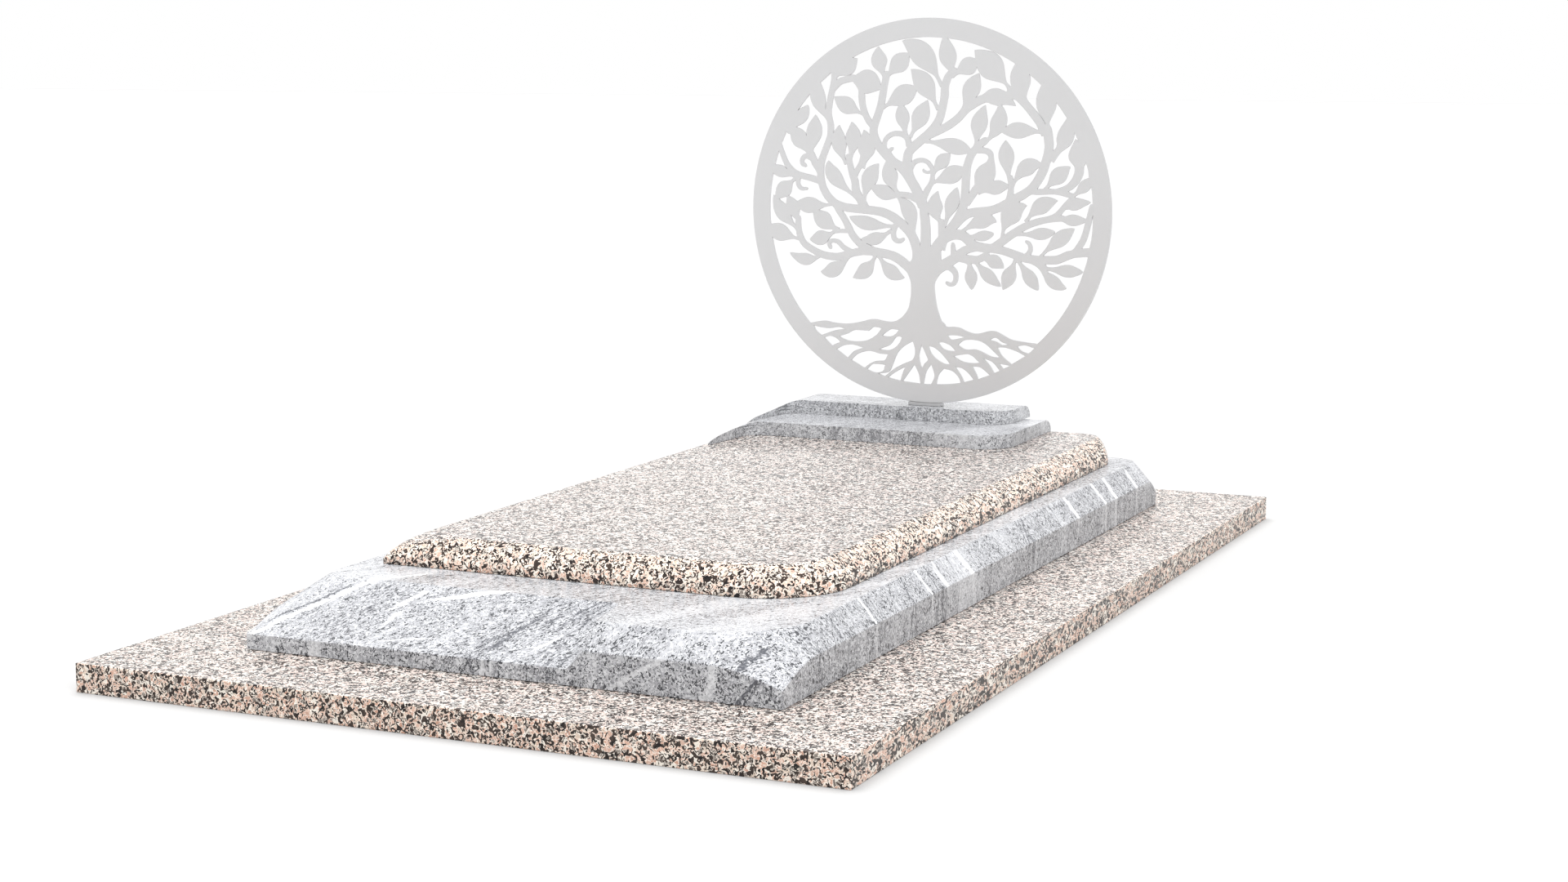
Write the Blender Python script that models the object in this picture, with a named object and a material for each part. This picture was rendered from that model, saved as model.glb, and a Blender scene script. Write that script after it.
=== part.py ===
"""Grave monument: a flat granite slab, a chamfered base block, a cover slab, two steps and a tree disc.

Metres, +Z up. The origin is under the centre of the ground slab. +Y points to the head, where the
disc stands, and -Y to the foot, which faces the visitor.
"""

import math

import bmesh
import bpy
from mathutils import Vector
from mathutils.geometry import delaunay_2d_cdt

TOUCH_GAP = 0.0003              # air left between two pieces that rest on each other

# Ground slab
SLAB_MARGIN = 0.20              # how far it shows around the base block
SLAB_THICKNESS = 0.05

# Base block
BASE_WIDTH = 1.00
BASE_LENGTH = 2.00
BASE_HEIGHT = 0.10
BASE_WALL = 0.060               # upright wall below the chamfer
BASE_CORNER_WALL = 0.030        # what is left of that wall at a sharp corner
BASE_CORNER_DROP = 0.130        # length over which the wall's top edge falls to a corner
BASE_REAR_DROP = 0.060
BASE_SIDE_CHAMFER = 0.035
BASE_FRONT_CHAMFER = 0.043
BASE_REAR_CHAMFER = 0.003
BASE_TOP_RADIUS = 0.150         # plan radius of the flat top's front corner
BASE_REAR_RADIUS = 0.060

# Sloping field cut into the base block's front left
FIELD_RIGHT = 0.117             # its right edge along the front wall
FIELD_RISE_RUN = 0.036          # width of the curved rise beside it
FIELD_DEPTH = 0.180             # how far back it reaches the flat top
FIELD_WALL = 0.028              # front wall below it
FIELD_CORNER_RADIUS = 0.040

# Cover slab
COVER_WIDTH = 0.84
COVER_SETBACK = 0.300           # from the base block's front to the cover's
COVER_HEIGHT = 0.050
COVER_LIP = 0.009               # upright band at its foot
COVER_RADIUS = 0.150            # plan radius of the front right corner
COVER_LEFT_RADIUS = 0.110       # of the front left corner's top edge, over a square foot
COVER_REAR_RADIUS = 0.115       # of the rear corners' foot
COVER_REAR_TOP_RADIUS = 0.050
COVER_SIDE_RUN = 0.043          # how far the rounded edge leans in
COVER_LEFT_RUN = 0.050
COVER_FRONT_RUN = 0.043
SQUARE_CORNER = 0.003           # arris of a square corner

# Steps at the head, with a rounded left and rear edge and an upright front and right face
STEP_HEIGHT = 0.030
LOWER_DEPTH = 0.320             # from its front face to the rear
LOWER_RIGHT = 0.254
LOWER_LEFT_INSET = 0.012        # from the edge of the cover's flat top to the lower step's foot
LOWER_RADIUS = 0.078
LOWER_LEFT_RUN = 0.030
LOWER_HOLLOW = 0.048            # hollow corner where the front face turns into the side arm
LOWER_ARM_INSET = 0.012         # from the left foot to the arm's inner face
LOWER_ARM_LENGTH = 0.190        # from the front face to the arm's tip
UPPER_SETBACK = 0.160           # from the lower step's front face to the upper one's
UPPER_RIGHT_INSET = 0.050
UPPER_LEFT_INSET = 0.023
UPPER_RADIUS = 0.068
UPPER_LEFT_RUN = 0.047
UPPER_HOLLOW = 0.048
UPPER_ARM_INSET = 0.007
UPPER_ARM_LENGTH = 0.197
STEP_REAR_RUN = 0.040           # how far the rounded rear edge leans in

# Disc and its foot
DISC_RADIUS = 0.4267
DISC_BORDER = 0.042
DISC_THICKNESS = 0.006
DISC_SETBACK = 0.036            # from the upper step's front face to the disc's middle plane
FOOT_WIDTH = 0.078
FOOT_DEPTH = 0.020
FOOT_HEIGHT = 0.009
DISC_SEAT = 0.0068              # height of the disc's lowest point over the upper step

# Tree, as shares of the disc's radius
LEAF_OUTLINE = (                # share of the length, share of the listed width
    (0.0, 0.0), (0.15, 0.12), (0.27, 0.56), (0.40, 0.95),
    (0.53, 1.08), (0.67, 0.96), (0.81, 0.62), (0.93, 0.26),
)
STALK_WIDTH = 0.020
SMALLEST_HOLE = 0.0004          # area of the smallest gap that is cut through
LEAST_AREA = 1e-7               # below this a triangle or a distance counts as nothing
CROSSING_FILL = 0.004           # radius of the dot put where two outlines touch
MOST_ROUNDS = 4
LOOP_STEP = 0.0060              # shortest side kept on an outline
LOOP_FLATNESS = 0.0011          # an outline's point nearer to its chord is dropped

# Segments of round stretches
CORNER_STEPS = 8
EDGE_STEPS = 5                  # rows on a rounded edge
EDGE_FLATNESS = 0.35            # 0 is a quarter ellipse, 1 a plain chamfer
RING_STEPS = 96
LIMB_POINTS = 3                 # points per stretch between two guide points
TRUNK_POINTS = 2
GROUND_POINTS = 2
GAP_POINTS = 3
CAP_SIDES = 10
CAP_TURN = 7                    # degrees, so that no cap point falls on a band's corner

SLAB_WIDTH = BASE_WIDTH + 2 * SLAB_MARGIN
SLAB_LENGTH = BASE_LENGTH + 2 * SLAB_MARGIN
BASE_BOTTOM = SLAB_THICKNESS + TOUCH_GAP
BASE_TOP = SLAB_THICKNESS + BASE_HEIGHT
COVER_TOP = BASE_TOP + COVER_HEIGHT
LOWER_TOP = COVER_TOP + STEP_HEIGHT
UPPER_TOP = LOWER_TOP + STEP_HEIGHT


def clear_scene():
    for thing in list(bpy.data.objects):
        bpy.data.objects.remove(thing, do_unlink=True)


def material(name, color, roughness, metallic=0.0):
    """A plain Principled material."""
    made = bpy.data.materials.new(name)
    made.use_nodes = True
    shader = made.node_tree.nodes["Principled BSDF"]
    shader.inputs["Base Color"].default_value = (*color, 1.0)
    shader.inputs["Roughness"].default_value = roughness
    shader.inputs["Metallic"].default_value = metallic
    return made


def add_object(name, mesh_data, finish):
    made = bpy.data.objects.new(name, mesh_data)
    mesh_data.materials.append(finish)
    bpy.context.collection.objects.link(made)
    return made


def loft(name, loops, finish, smooth_angle=None):
    """A closed solid through loops of equal length, listed from bottom to top, anticlockwise from above."""
    bm = bmesh.new()
    rows = [[bm.verts.new(point) for point in loop] for loop in loops]
    bm.faces.new(reversed(rows[0]))
    bm.faces.new(rows[-1])
    for low, high in zip(rows, rows[1:]):
        for i in range(len(low)):
            j = (i + 1) % len(low)
            bm.faces.new((low[i], low[j], high[j], high[i]))
    bmesh.ops.recalc_face_normals(bm, faces=bm.faces)
    data = bpy.data.meshes.new(name)
    bm.to_mesh(data)
    bm.free()
    if smooth_angle is not None:
        data.shade_smooth()
        data.set_sharp_from_angle(angle=math.radians(smooth_angle))
    return add_object(name, data, finish)


def arc(center, radius, start, end, steps):
    """Points on an arc, angles in degrees, both ends included."""
    points = []
    for i in range(steps + 1):
        angle = math.radians(start + (end - start) * i / steps)
        points.append((center[0] + radius * math.cos(angle), center[1] + radius * math.sin(angle)))
    return points


def mix(a, b, t):
    return a + (b - a) * t


# Ground slab

def ground_slab(finish):
    half_x = SLAB_WIDTH / 2
    half_y = SLAB_LENGTH / 2
    outline = [(-half_x, -half_y), (half_x, -half_y), (half_x, half_y), (-half_x, half_y)]
    loops = [[(x, y, z) for x, y in outline] for z in (0.0, SLAB_THICKNESS)]
    return loft("ground_slab", loops, finish)


# Base block

def wall_top(distance, drop):
    """Height of the upright wall's top edge at a distance from a sharp corner."""
    share = math.sin(math.pi / 2 * min(distance / drop, 1.0))
    return SLAB_THICKNESS + mix(BASE_CORNER_WALL, BASE_WALL, share)


def base_corner(sx, sy, radius, side_run, end_run, drop):
    """Stations round one corner, anticlockwise: (wall point, wall top, point on the flat top's outline)."""
    half_x = BASE_WIDTH / 2
    half_y = BASE_LENGTH / 2
    center = (half_x - side_run - radius, half_y - end_run - radius)
    stations = []
    for i in range(2 * CORNER_STEPS + 1):
        t = i / (2 * CORNER_STEPS)
        angle = math.radians(90 * t)
        flat = (center[0] + radius * math.cos(angle), center[1] + radius * math.sin(angle))
        if t <= 0.5:
            wall = (half_x, mix(center[1], half_y, 2 * t))
        else:
            wall = (mix(half_x, center[0], 2 * t - 1), half_y)
        distance = max(half_x - wall[0], half_y - wall[1])
        stations.append((wall, wall_top(distance, drop), flat))
    stations = [((sx * w[0], sy * w[1]), z, (sx * f[0], sy * f[1])) for w, z, f in stations]
    if sx * sy < 0:
        stations.reverse()
    return stations


def field_stations():
    """Stations of the sloping field: down the left wall, along the front, and up the curved rise."""
    left = -BASE_WIDTH / 2
    front = -BASE_LENGTH / 2
    field_top = SLAB_THICKNESS + FIELD_WALL
    wall = SLAB_THICKNESS + BASE_WALL
    back = front + FIELD_DEPTH
    center = (left + BASE_SIDE_CHAMFER + FIELD_CORNER_RADIUS, back + FIELD_CORNER_RADIUS)
    stations = []
    for i in range(CORNER_STEPS + 1):
        t = i / CORNER_STEPS
        angle = math.radians(180 + 90 * t)
        flat = (center[0] + FIELD_CORNER_RADIUS * math.cos(angle),
                center[1] + FIELD_CORNER_RADIUS * math.sin(angle))
        y = mix(front + BASE_CORNER_DROP, front, t)
        share = math.sin(math.pi / 2 * (1 - t)) ** 1.4
        stations.append(((left, y), mix(field_top, wall, share), flat))
    flat_left = center[0]
    for i in range(1, 5):
        t = i / 4
        stations.append(((mix(left, FIELD_RIGHT, t), front), field_top,
                         (mix(flat_left, FIELD_RIGHT, t), back)))
    for i in range(1, CORNER_STEPS + 1):
        t = i / CORNER_STEPS
        x = FIELD_RIGHT + FIELD_RISE_RUN * t
        rise = 0.5 - 0.5 * math.cos(math.pi * t)
        z = mix(field_top, wall, 0.35 * t + 0.65 * rise)
        stations.append(((x, front), z, (x, mix(back, front + BASE_FRONT_CHAMFER, rise))))
    return stations


def base_block(finish):
    stations = field_stations()
    stations += base_corner(1, -1, BASE_TOP_RADIUS, BASE_SIDE_CHAMFER, BASE_FRONT_CHAMFER, BASE_CORNER_DROP)
    stations += base_corner(1, 1, BASE_REAR_RADIUS, BASE_SIDE_CHAMFER, BASE_REAR_CHAMFER, BASE_REAR_DROP)
    stations += base_corner(-1, 1, BASE_REAR_RADIUS, BASE_SIDE_CHAMFER, BASE_REAR_CHAMFER, BASE_REAR_DROP)
    loops = [
        [(wall[0], wall[1], BASE_BOTTOM) for wall, top, flat in stations],
        [(wall[0], wall[1], top) for wall, top, flat in stations],
        [(flat[0], flat[1], BASE_TOP) for wall, top, flat in stations],
    ]
    return loft("base_block", loops, finish, smooth_angle=25)


# Cover slab

def cover_outline(share):
    """Plan of the cover where its edge has leaned in by a share of its runs."""
    left = -COVER_WIDTH / 2 + COVER_LEFT_RUN * share
    right = COVER_WIDTH / 2 - COVER_SIDE_RUN * share
    front = -BASE_LENGTH / 2 + COVER_SETBACK + COVER_FRONT_RUN * share
    rear = BASE_LENGTH / 2 - BASE_REAR_CHAMFER
    square = mix(SQUARE_CORNER, COVER_LEFT_RADIUS, share)
    near = COVER_RADIUS - COVER_SIDE_RUN * share
    far = mix(COVER_REAR_RADIUS, COVER_REAR_TOP_RADIUS, share)
    return (arc((left + square, front + square), square, 180, 270, CORNER_STEPS)
            + arc((right - near, front + near), near, 270, 360, CORNER_STEPS)
            + arc((right - far, rear - far), far, 0, 90, CORNER_STEPS)
            + arc((left + far, rear - far), far, 90, 180, CORNER_STEPS))


def cover_slab(finish):
    levels = [(BASE_TOP + TOUCH_GAP, 0.0), (BASE_TOP + COVER_LIP, 0.0)]
    for i in range(1, EDGE_STEPS + 1):
        t = i / EDGE_STEPS
        rise = mix(math.sin(math.pi / 2 * t), t, EDGE_FLATNESS)
        lean = mix(1 - math.cos(math.pi / 2 * t), t, EDGE_FLATNESS)
        levels.append((mix(BASE_TOP + COVER_LIP, COVER_TOP, rise), lean))
    loops = [[(x, y, z) for x, y in cover_outline(lean)] for z, lean in levels]
    return loft("cover_slab", loops, finish, smooth_angle=30)


# Steps

def arm_side(left, inner, tip, front, hollow):
    """Inner face of the side arm in plan, from its tip through the hollow corner to the front face."""
    side = []
    for i in range(CORNER_STEPS + 1):
        t = i / CORNER_STEPS
        side.append((mix(left, inner, t), mix(tip, front - hollow, t)))
    return side + arc((inner + hollow, front - hollow), hollow, 180, 90, 2 * CORNER_STEPS)[1:]


def from_edge(side, x, count):
    """The stretch of a plan curve beyond a given X, as evenly shared points."""
    k = 0
    while k < len(side) - 2 and side[k + 1][0] <= x:
        k += 1
    t = (x - side[k][0]) / (side[k + 1][0] - side[k][0])
    rest = [(x, mix(side[k][1], side[k + 1][1], t))] + side[k + 1:]
    lengths = [0.0]
    for a, b in zip(rest, rest[1:]):
        lengths.append(lengths[-1] + math.dist(a, b))
    points = []
    for i in range(count + 1):
        want = lengths[-1] * i / count
        j = 0
        while j < len(rest) - 2 and lengths[j + 1] < want:
            j += 1
        u = (want - lengths[j]) / (lengths[j + 1] - lengths[j])
        points.append((mix(rest[j][0], rest[j + 1][0], u), mix(rest[j][1], rest[j + 1][1], u)))
    return points


def step(name, place, bottom, finish):
    """A step whose left and rear edges round over and whose front left corner sweeps forward as an arm."""
    front, rear, left, right = place["front"], place["rear"], place["left"], place["right"]
    inner = left + place["arm_inset"]
    side = arm_side(left, inner, front - place["arm_length"], front, place["hollow"])
    loops = []
    for i in range(EDGE_STEPS + 2):
        angle = math.pi / 2 * i / (EDGE_STEPS + 1)
        z = bottom + mix(TOUCH_GAP, STEP_HEIGHT, math.sin(angle))
        lean = 1 - math.cos(angle)
        edge = left + place["left_run"] * lean
        back = rear - STEP_REAR_RUN * lean
        outline = from_edge(side, edge + 1e-5, 2 * CORNER_STEPS)
        center = (right - place["radius"], front + place["radius"])
        outline += arc(center, place["radius"], 270, 360, CORNER_STEPS)
        outline += [(right, back), (edge, back)]
        loops.append([(x, y, z) for x, y in outline])
    return loft(name, loops, finish, smooth_angle=30)


# Tree disc, drawn in the plane of the disc as shares of its radius

def smooth_path(guides, per_stretch):
    """Points on a Catmull-Rom curve through the guide points."""
    ends = [guides[0]] + list(guides) + [guides[-1]]
    path = []
    for k in range(1, len(ends) - 2):
        p0, p1, p2, p3 = (Vector(p) for p in ends[k - 1:k + 3])
        for i in range(per_stretch):
            t = i / per_stretch
            path.append(0.5 * (2 * p1 + (p2 - p0) * t + (2 * p0 - 5 * p1 + 4 * p2 - p3) * t ** 2
                               + (3 * p1 - p0 - 3 * p2 + p3) * t ** 3))
    path.append(Vector(guides[-1]))
    return path


def heading(path, i):
    ahead = path[min(i + 1, len(path) - 1)]
    behind = path[max(i - 1, 0)]
    return (ahead - behind).normalized()


def ribbon(edges):
    """Quads between successive (left, right) pairs of points."""
    return [[a[1], b[1], b[0], a[0]] for a, b in zip(edges, edges[1:])]


def cap(middle, radius):
    return [middle + Vector(p) for p in arc((0, 0), radius, CAP_TURN, 360 + CAP_TURN, CAP_SIDES)[:-1]]


def limb(guides, start_width, end_width):
    """Tapering band along a smooth path, with a round end."""
    path = smooth_path(guides, LIMB_POINTS)
    edges = []
    last = len(path) - 1
    for i, point in enumerate(path):
        half = mix(start_width, end_width, i / last) / 2
        along = heading(path, i)
        across = Vector((-along.y, along.x)) * half
        edges.append((point + across, point - across))
    return ribbon(edges) + [cap(path[-1], end_width / 2)]


def leaf(root, middle, tip, width):
    """Pointed blade along a curve through three points, on a thin stalk."""
    root, middle, tip = Vector(root), Vector(middle), Vector(tip)
    knee = 2 * middle - (root + tip) / 2
    edges = []
    for t, share in LEAF_OUTLINE:
        point = root * (1 - t) ** 2 + knee * (2 * t * (1 - t)) + tip * t ** 2
        along = ((knee - root) * (1 - t) + (tip - knee) * t).normalized()
        across = Vector((-along.y, along.x)) * max(share * width, STALK_WIDTH) / 2
        edges.append((point + across, point - across))
    return ribbon(edges + [(tip, tip)])


LIMBS = (
    # guide points, width at the root, width at the end
    # lowest left limb
    (((-.04, -.34), (-.10, -.295), (-.14, -.262), (-.19, -.235), (-.25, -.222), (-.31, -.215),
      (-.37, -.215),
      (-.43, -.23), (-.50, -.248), (-.56, -.247), (-.61, -.235), (-.66, -.212), (-.705, -.18), (-.73, -.13),
      (-.737, -.08), (-.737, -.05)), .052, .030),
    (((-.43, -.22), (-.475, -.197), (-.505, -.170), (-.54, -.165), (-.558, -.183),
      (-.548, -.203)), .028, .018),
    (((-.30, -.212), (-.37, -.182), (-.42, -.135), (-.445, -.09), (-.475, -.04), (-.51, .008)), .042, .032),
    (((-.435, -.11), (-.48, -.112), (-.53, -.115)), .024, .022),
    # long left limb
    (((-.045, -.24), (-.066, -.17), (-.085, -.125), (-.115, -.09), (-.15, -.06), (-.20, -.027),
      (-.26, -.005),
      (-.33, .003), (-.40, .007), (-.47, .015), (-.53, .038), (-.573, .08), (-.60, .135), (-.608, .20),
      (-.60, .26), (-.577, .32), (-.553, .38), (-.55, .44), (-.562, .50), (-.556, .56), (-.543, .62),
      (-.531, .68), (-.53, .76)), .052, .030),
    (((-.175, -.065), (-.19, -.11), (-.183, -.145), (-.157, -.157), (-.137, -.146)), .030, .022),
    (((-.54, .63), (-.50, .668), (-.46, .682), (-.42, .69)), .035, .035),
    (((-.60, .145), (-.66, .163), (-.715, .175), (-.76, .193), (-.80, .232), (-.825, .28), (-.85, .345),
      (-.89, .40)), .036, .024),
    (((-.735, .165), (-.737, .13), (-.718, .107), (-.688, .107)), .026, .018),
    (((-.608, .20), (-.64, .245), (-.66, .29)), .042, .036),
    (((-.65, .265), (-.69, .28), (-.713, .262), (-.712, .237), (-.694, .228)), .030, .018),
    (((-.345, .00), (-.375, .05), (-.403, .10), (-.410, .15), (-.425, .19), (-.438, .235),
      (-.447, .28)), .050, .030),
    (((-.415, .17), (-.395, .215), (-.375, .245), (-.365, .28)), .030, .030),
    # middle limb to the upper left
    (((-.025, .03), (-.055, .10), (-.085, .15), (-.12, .20), (-.155, .235), (-.20, .262), (-.245, .305),
      (-.28, .345), (-.302, .39), (-.305, .43), (-.288, .48), (-.268, .54), (-.255, .60), (-.243, .66),
      (-.235, .71)), .055, .036),
    (((-.30, .43), (-.335, .47), (-.36, .52), (-.372, .57), (-.375, .63)), .032, .036),
    (((-.05, .06), (-.09, .078), (-.13, .088), (-.175, .088)), .035, .030),
    # middle limb to the top and along the upper right
    (((-.10, .18), (-.115, .25), (-.105, .31), (-.063, .352), (-.01, .395), (.035, .44), (.065, .49),
      (.08, .55),
      (.09, .60), (.092, .65), (.11, .70), (.14, .73)), .050, .038),
    (((-.02, .385), (.05, .42), (.11, .448), (.17, .492), (.21, .535), (.26, .567), (.31, .59), (.40, .60),
      (.47, .61)), .040, .046),
    (((-.105, .34), (-.115, .38), (-.148, .402), (-.195, .402), (-.235, .375), (-.243, .33), (-.22, .313),
      (-.20, .327)), .034, .018),
    (((-.10, .21), (-.077, .255), (-.035, .269), (.0, .258), (.022, .23)), .028, .022),
    (((.024, .22), (.005, .206), (-.018, .210), (-.025, .220)), .016, .012),
    # stems over the trunk
    (((-.01, -.24), (-.008, -.15), (-.009, -.08), (-.018, .00), (-.027, .06)), .060, .044),
    (((-.03, .05), (-.005, .11), (.018, .145), (.027, .18), (.027, .225), (.02, .24)), .036, .018),
    (((.07, -.19), (.088, -.13), (.083, -.10), (.078, -.05)), .060, .036),
    (((.05, -.20), (.10, -.12), (.145, -.065), (.18, -.01), (.203, .05), (.208, .10), (.211, .17),
      (.22, .25),
      (.245, .31), (.28, .35), (.315, .375)), .050, .038),
    (((.215, .05), (.245, .09), (.27, .13)), .040, .040),
    (((.245, .325), (.30, .326), (.338, .315), (.348, .285), (.338, .265)), .034, .028),
    # long right limb
    (((.12, -.10), (.17, -.045), (.22, -.005), (.28, .010), (.35, .018), (.41, .040), (.46, .070),
      (.52, .10),
      (.57, .135), (.605, .18), (.633, .235), (.65, .29), (.66, .34), (.657, .39),
      (.648, .44)), .045, .048),
    (((.64, .41), (.61, .47), (.57, .52), (.53, .565), (.49, .60), (.45, .635)), .045, .042),
    (((.435, .04), (.455, .10), (.46, .15), (.453, .19)), .036, .028),
    (((.55, .12), (.60, .119), (.66, .123), (.72, .120), (.78, .105)), .032, .028),
    (((.70, .122), (.76, .14), (.80, .175), (.822, .22), (.825, .27), (.86, .35)), .030, .060),
    (((.67, .28), (.70, .32), (.73, .36)), .040, .036),
    # lower right limbs
    (((.04, -.20), (.09, -.137), (.15, -.112), (.205, -.120), (.255, -.162), (.30, -.174), (.36, -.176),
      (.40, -.150), (.44, -.120), (.48, -.095), (.53, -.062), (.59, -.038), (.66, -.020),
      (.74, -.012)), .058, .032),
    (((.66, -.020), (.71, .005), (.745, .045), (.79, .088)), .030, .030),
    (((.05, -.30), (.09, -.275), (.135, -.248), (.18, -.215), (.22, -.188), (.27, -.175)), .062, .040),
    (((.17, -.225), (.22, -.238), (.28, -.238), (.33, -.213)), .050, .034),
    (((.15, -.22), (.145, -.18), (.143, -.160)), .034, .016),
    (((.085, -.28), (.13, -.285), (.157, -.31), (.162, -.34), (.152, -.365), (.13, -.373),
      (.112, -.364)), .036, .018),
    (((.35, -.178), (.42, -.187), (.49, -.208), (.55, -.224), (.61, -.228), (.67, -.228), (.72, -.222),
      (.77, -.200), (.82, -.187), (.91, -.180)), .042, .045),
    (((.55, -.21), (.568, -.18), (.563, -.15), (.546, -.136)), .030, .016),
    (((.57, -.225), (.61, -.243), (.645, -.275)), .046, .040),
    (((.80, -.195), (.845, -.13), (.864, -.08), (.876, -.03), (.895, .05)), .036, .030),
)

LEAVES = (
    # root, middle, tip, width
    # left, from the bottom up
    ((-.60, -.242), (-.69, -.268), (-.785, -.235), .060),
    ((-.43, -.235), (-.525, -.315), (-.605, -.330), .074),
    ((-.29, -.235), (-.345, -.312), (-.420, -.357), .074),
    ((-.275, -.232), (-.205, -.315), (-.125, -.347), .070),
    ((-.73, -.165), (-.84, -.130), (-.930, -.095), .085),
    ((-.74, -.110), (-.825, -.025), (-.880, .070), .075),
    ((-.755, .158), (-.815, .105), (-.870, .045), .080),
    ((-.745, .170), (-.835, .195), (-.920, .225), .060),
    ((-.737, -.070), (-.765, .000), (-.800, .070), .075),
    ((-.54, .025), (-.665, .020), (-.760, .030), .080),
    ((-.50, -.105), (-.585, -.060), (-.650, .000), .085),
    ((-.52, -.115), (-.60, -.150), (-.670, -.160), .073),
    ((-.17, -.080), (-.335, -.068), (-.440, -.033), .068),
    ((-.20, -.100), (-.29, -.146), (-.375, -.150), .062),
    ((-.665, .280), (-.645, .400), (-.637, .497), .082),
    ((-.67, .280), (-.725, .365), (-.790, .440), .085),
    ((-.80, .400), (-.72, .485), (-.683, .548), .065),
    ((-.555, .460), (-.622, .580), (-.630, .720), .078),
    ((-.53, .690), (-.46, .745), (-.400, .792), .085),
    ((-.46, .684), (-.35, .672), (-.262, .632), .118),
    ((-.365, .500), (-.455, .545), (-.530, .592), .082),
    ((-.46, .240), (-.50, .345), (-.500, .445), .078),
    ((-.437, .260), (-.42, .370), (-.430, .462), .082),
    ((-.365, .220), (-.345, .325), (-.360, .422), .092),
    ((-.40, .065), (-.525, .172), (-.560, .258), .074),
    ((-.36, .040), (-.328, .165), (-.275, .247), .082),
    ((-.15, .080), (-.235, .095), (-.330, .135), .072),
    ((-.075, -.150), (-.10, -.005), (-.170, .072), .075),
    ((-.165, .092), (-.21, .180), (-.220, .280), .080),
    # top
    ((-.244, .690), (-.275, .775), (-.280, .853), .080),
    ((-.235, .690), (-.165, .765), (-.105, .820), .090),
    ((.075, .650), (-.03, .805), (-.147, .882), .112),
    ((.055, .530), (-.02, .655), (-.097, .737), .098),
    ((-.265, .530), (-.145, .600), (-.060, .645), .098),
    ((-.12, .390), (-.142, .485), (-.155, .570), .070),
    ((-.10, .385), (-.045, .490), (-.004, .580), .086),
    ((.135, .700), (.107, .800), (.085, .920), .086),
    ((.13, .700), (.215, .752), (.280, .775), .085),
    ((.45, .635), (.345, .750), (.253, .836), .125),
    ((.185, .520), (.235, .632), (.278, .718), .086),
    ((.25, .565), (.365, .600), (.480, .552), .080),
    ((-.03, .368), (.14, .345), (.245, .312), .076),
    # right, from the top down
    ((.265, .340), (.28, .455), (.315, .557), .082),
    ((.31, .360), (.385, .460), (.390, .570), .082),
    ((.64, .420), (.50, .430), (.400, .420), .078),
    ((.54, .560), (.503, .680), (.500, .800), .100),
    ((.655, .430), (.643, .565), (.640, .700), .100),
    ((.685, .290), (.745, .395), (.770, .520), .082),
    ((.82, .200), (.82, .300), (.800, .390), .100),
    ((.45, .160), (.432, .290), (.427, .380), .078),
    ((.462, .140), (.54, .240), (.630, .252), .080),
    ((.64, .130), (.71, .200), (.776, .252), .078),
    ((.79, .100), (.85, .150), (.910, .210), .055),
    ((.73, .030), (.80, .060), (.887, .072), .058),
    ((.54, -.035), (.62, .045), (.712, .077), .078),
    ((.41, -.120), (.46, .000), (.547, .048), .100),
    ((.08, -.060), (.042, .020), (.058, .112), .080),
    ((.095, -.070), (.135, .045), (.163, .133), .070),
    ((.01, .145), (.13, .195), (.210, .235), .085),
    ((.025, .190), (.078, .262), (.125, .304), .068),
    ((.25, .090), (.312, .190), (.360, .285), .100),
    ((.28, .105), (.37, .136), (.450, .145), .070),
    ((.18, -.105), (.30, -.037), (.382, -.043), .075),
    ((.20, -.125), (.305, -.115), (.367, -.100), .050),
    ((.50, -.100), (.62, -.095), (.700, -.082), .058),
    ((.70, -.015), (.79, -.020), (.870, -.020), .055),
    ((.62, -.210), (.725, -.120), (.804, -.062), .072),
    ((.64, -.270), (.765, -.280), (.852, -.283), .060),
    ((.61, -.250), (.69, -.335), (.765, -.370), .060),
    ((.495, -.225), (.565, -.320), (.615, -.385), .064),
    ((.49, -.225), (.455, -.315), (.422, -.390), .072),
    ((.23, -.235), (.245, -.325), (.250, -.395), .062),
    ((.26, -.240), (.335, -.315), (.410, -.373), .060),
    ((.29, -.225), (.368, -.243), (.424, -.279), .066),
)

TRUNK = (
    # height, left edge, right edge
    (-.20, -.083, .078), (-.25, -.085, .080), (-.29, -.125, .100), (-.32, -.110, .075), (-.36, -.092, .048),
    (-.40, -.087, .044), (-.45, -.090, .050), (-.50, -.100, .060), (-.53, -.117, .070), (-.56, -.145, .082),
    (-.59, -.200, .105),
)

GROUND = (
    # top edge of the ground that the roots run through
    (-.68, -.610), (-.63, -.600), (-.58, -.592), (-.53, -.599), (-.48, -.603), (-.43, -.600), (-.37, -.588),
    (-.32, -.574), (-.28, -.572), (-.23, -.580), (-.19, -.580), (-.15, -.568), (-.12, -.560), (.07, -.560),
    (.11, -.593), (.15, -.592), (.19, -.597), (.22, -.610), (.26, -.622), (.30, -.620), (.34, -.608),
    (.38, -.605), (.42, -.620), (.46, -.640), (.50, -.650), (.56, -.656), (.64, -.663),
)

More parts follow.
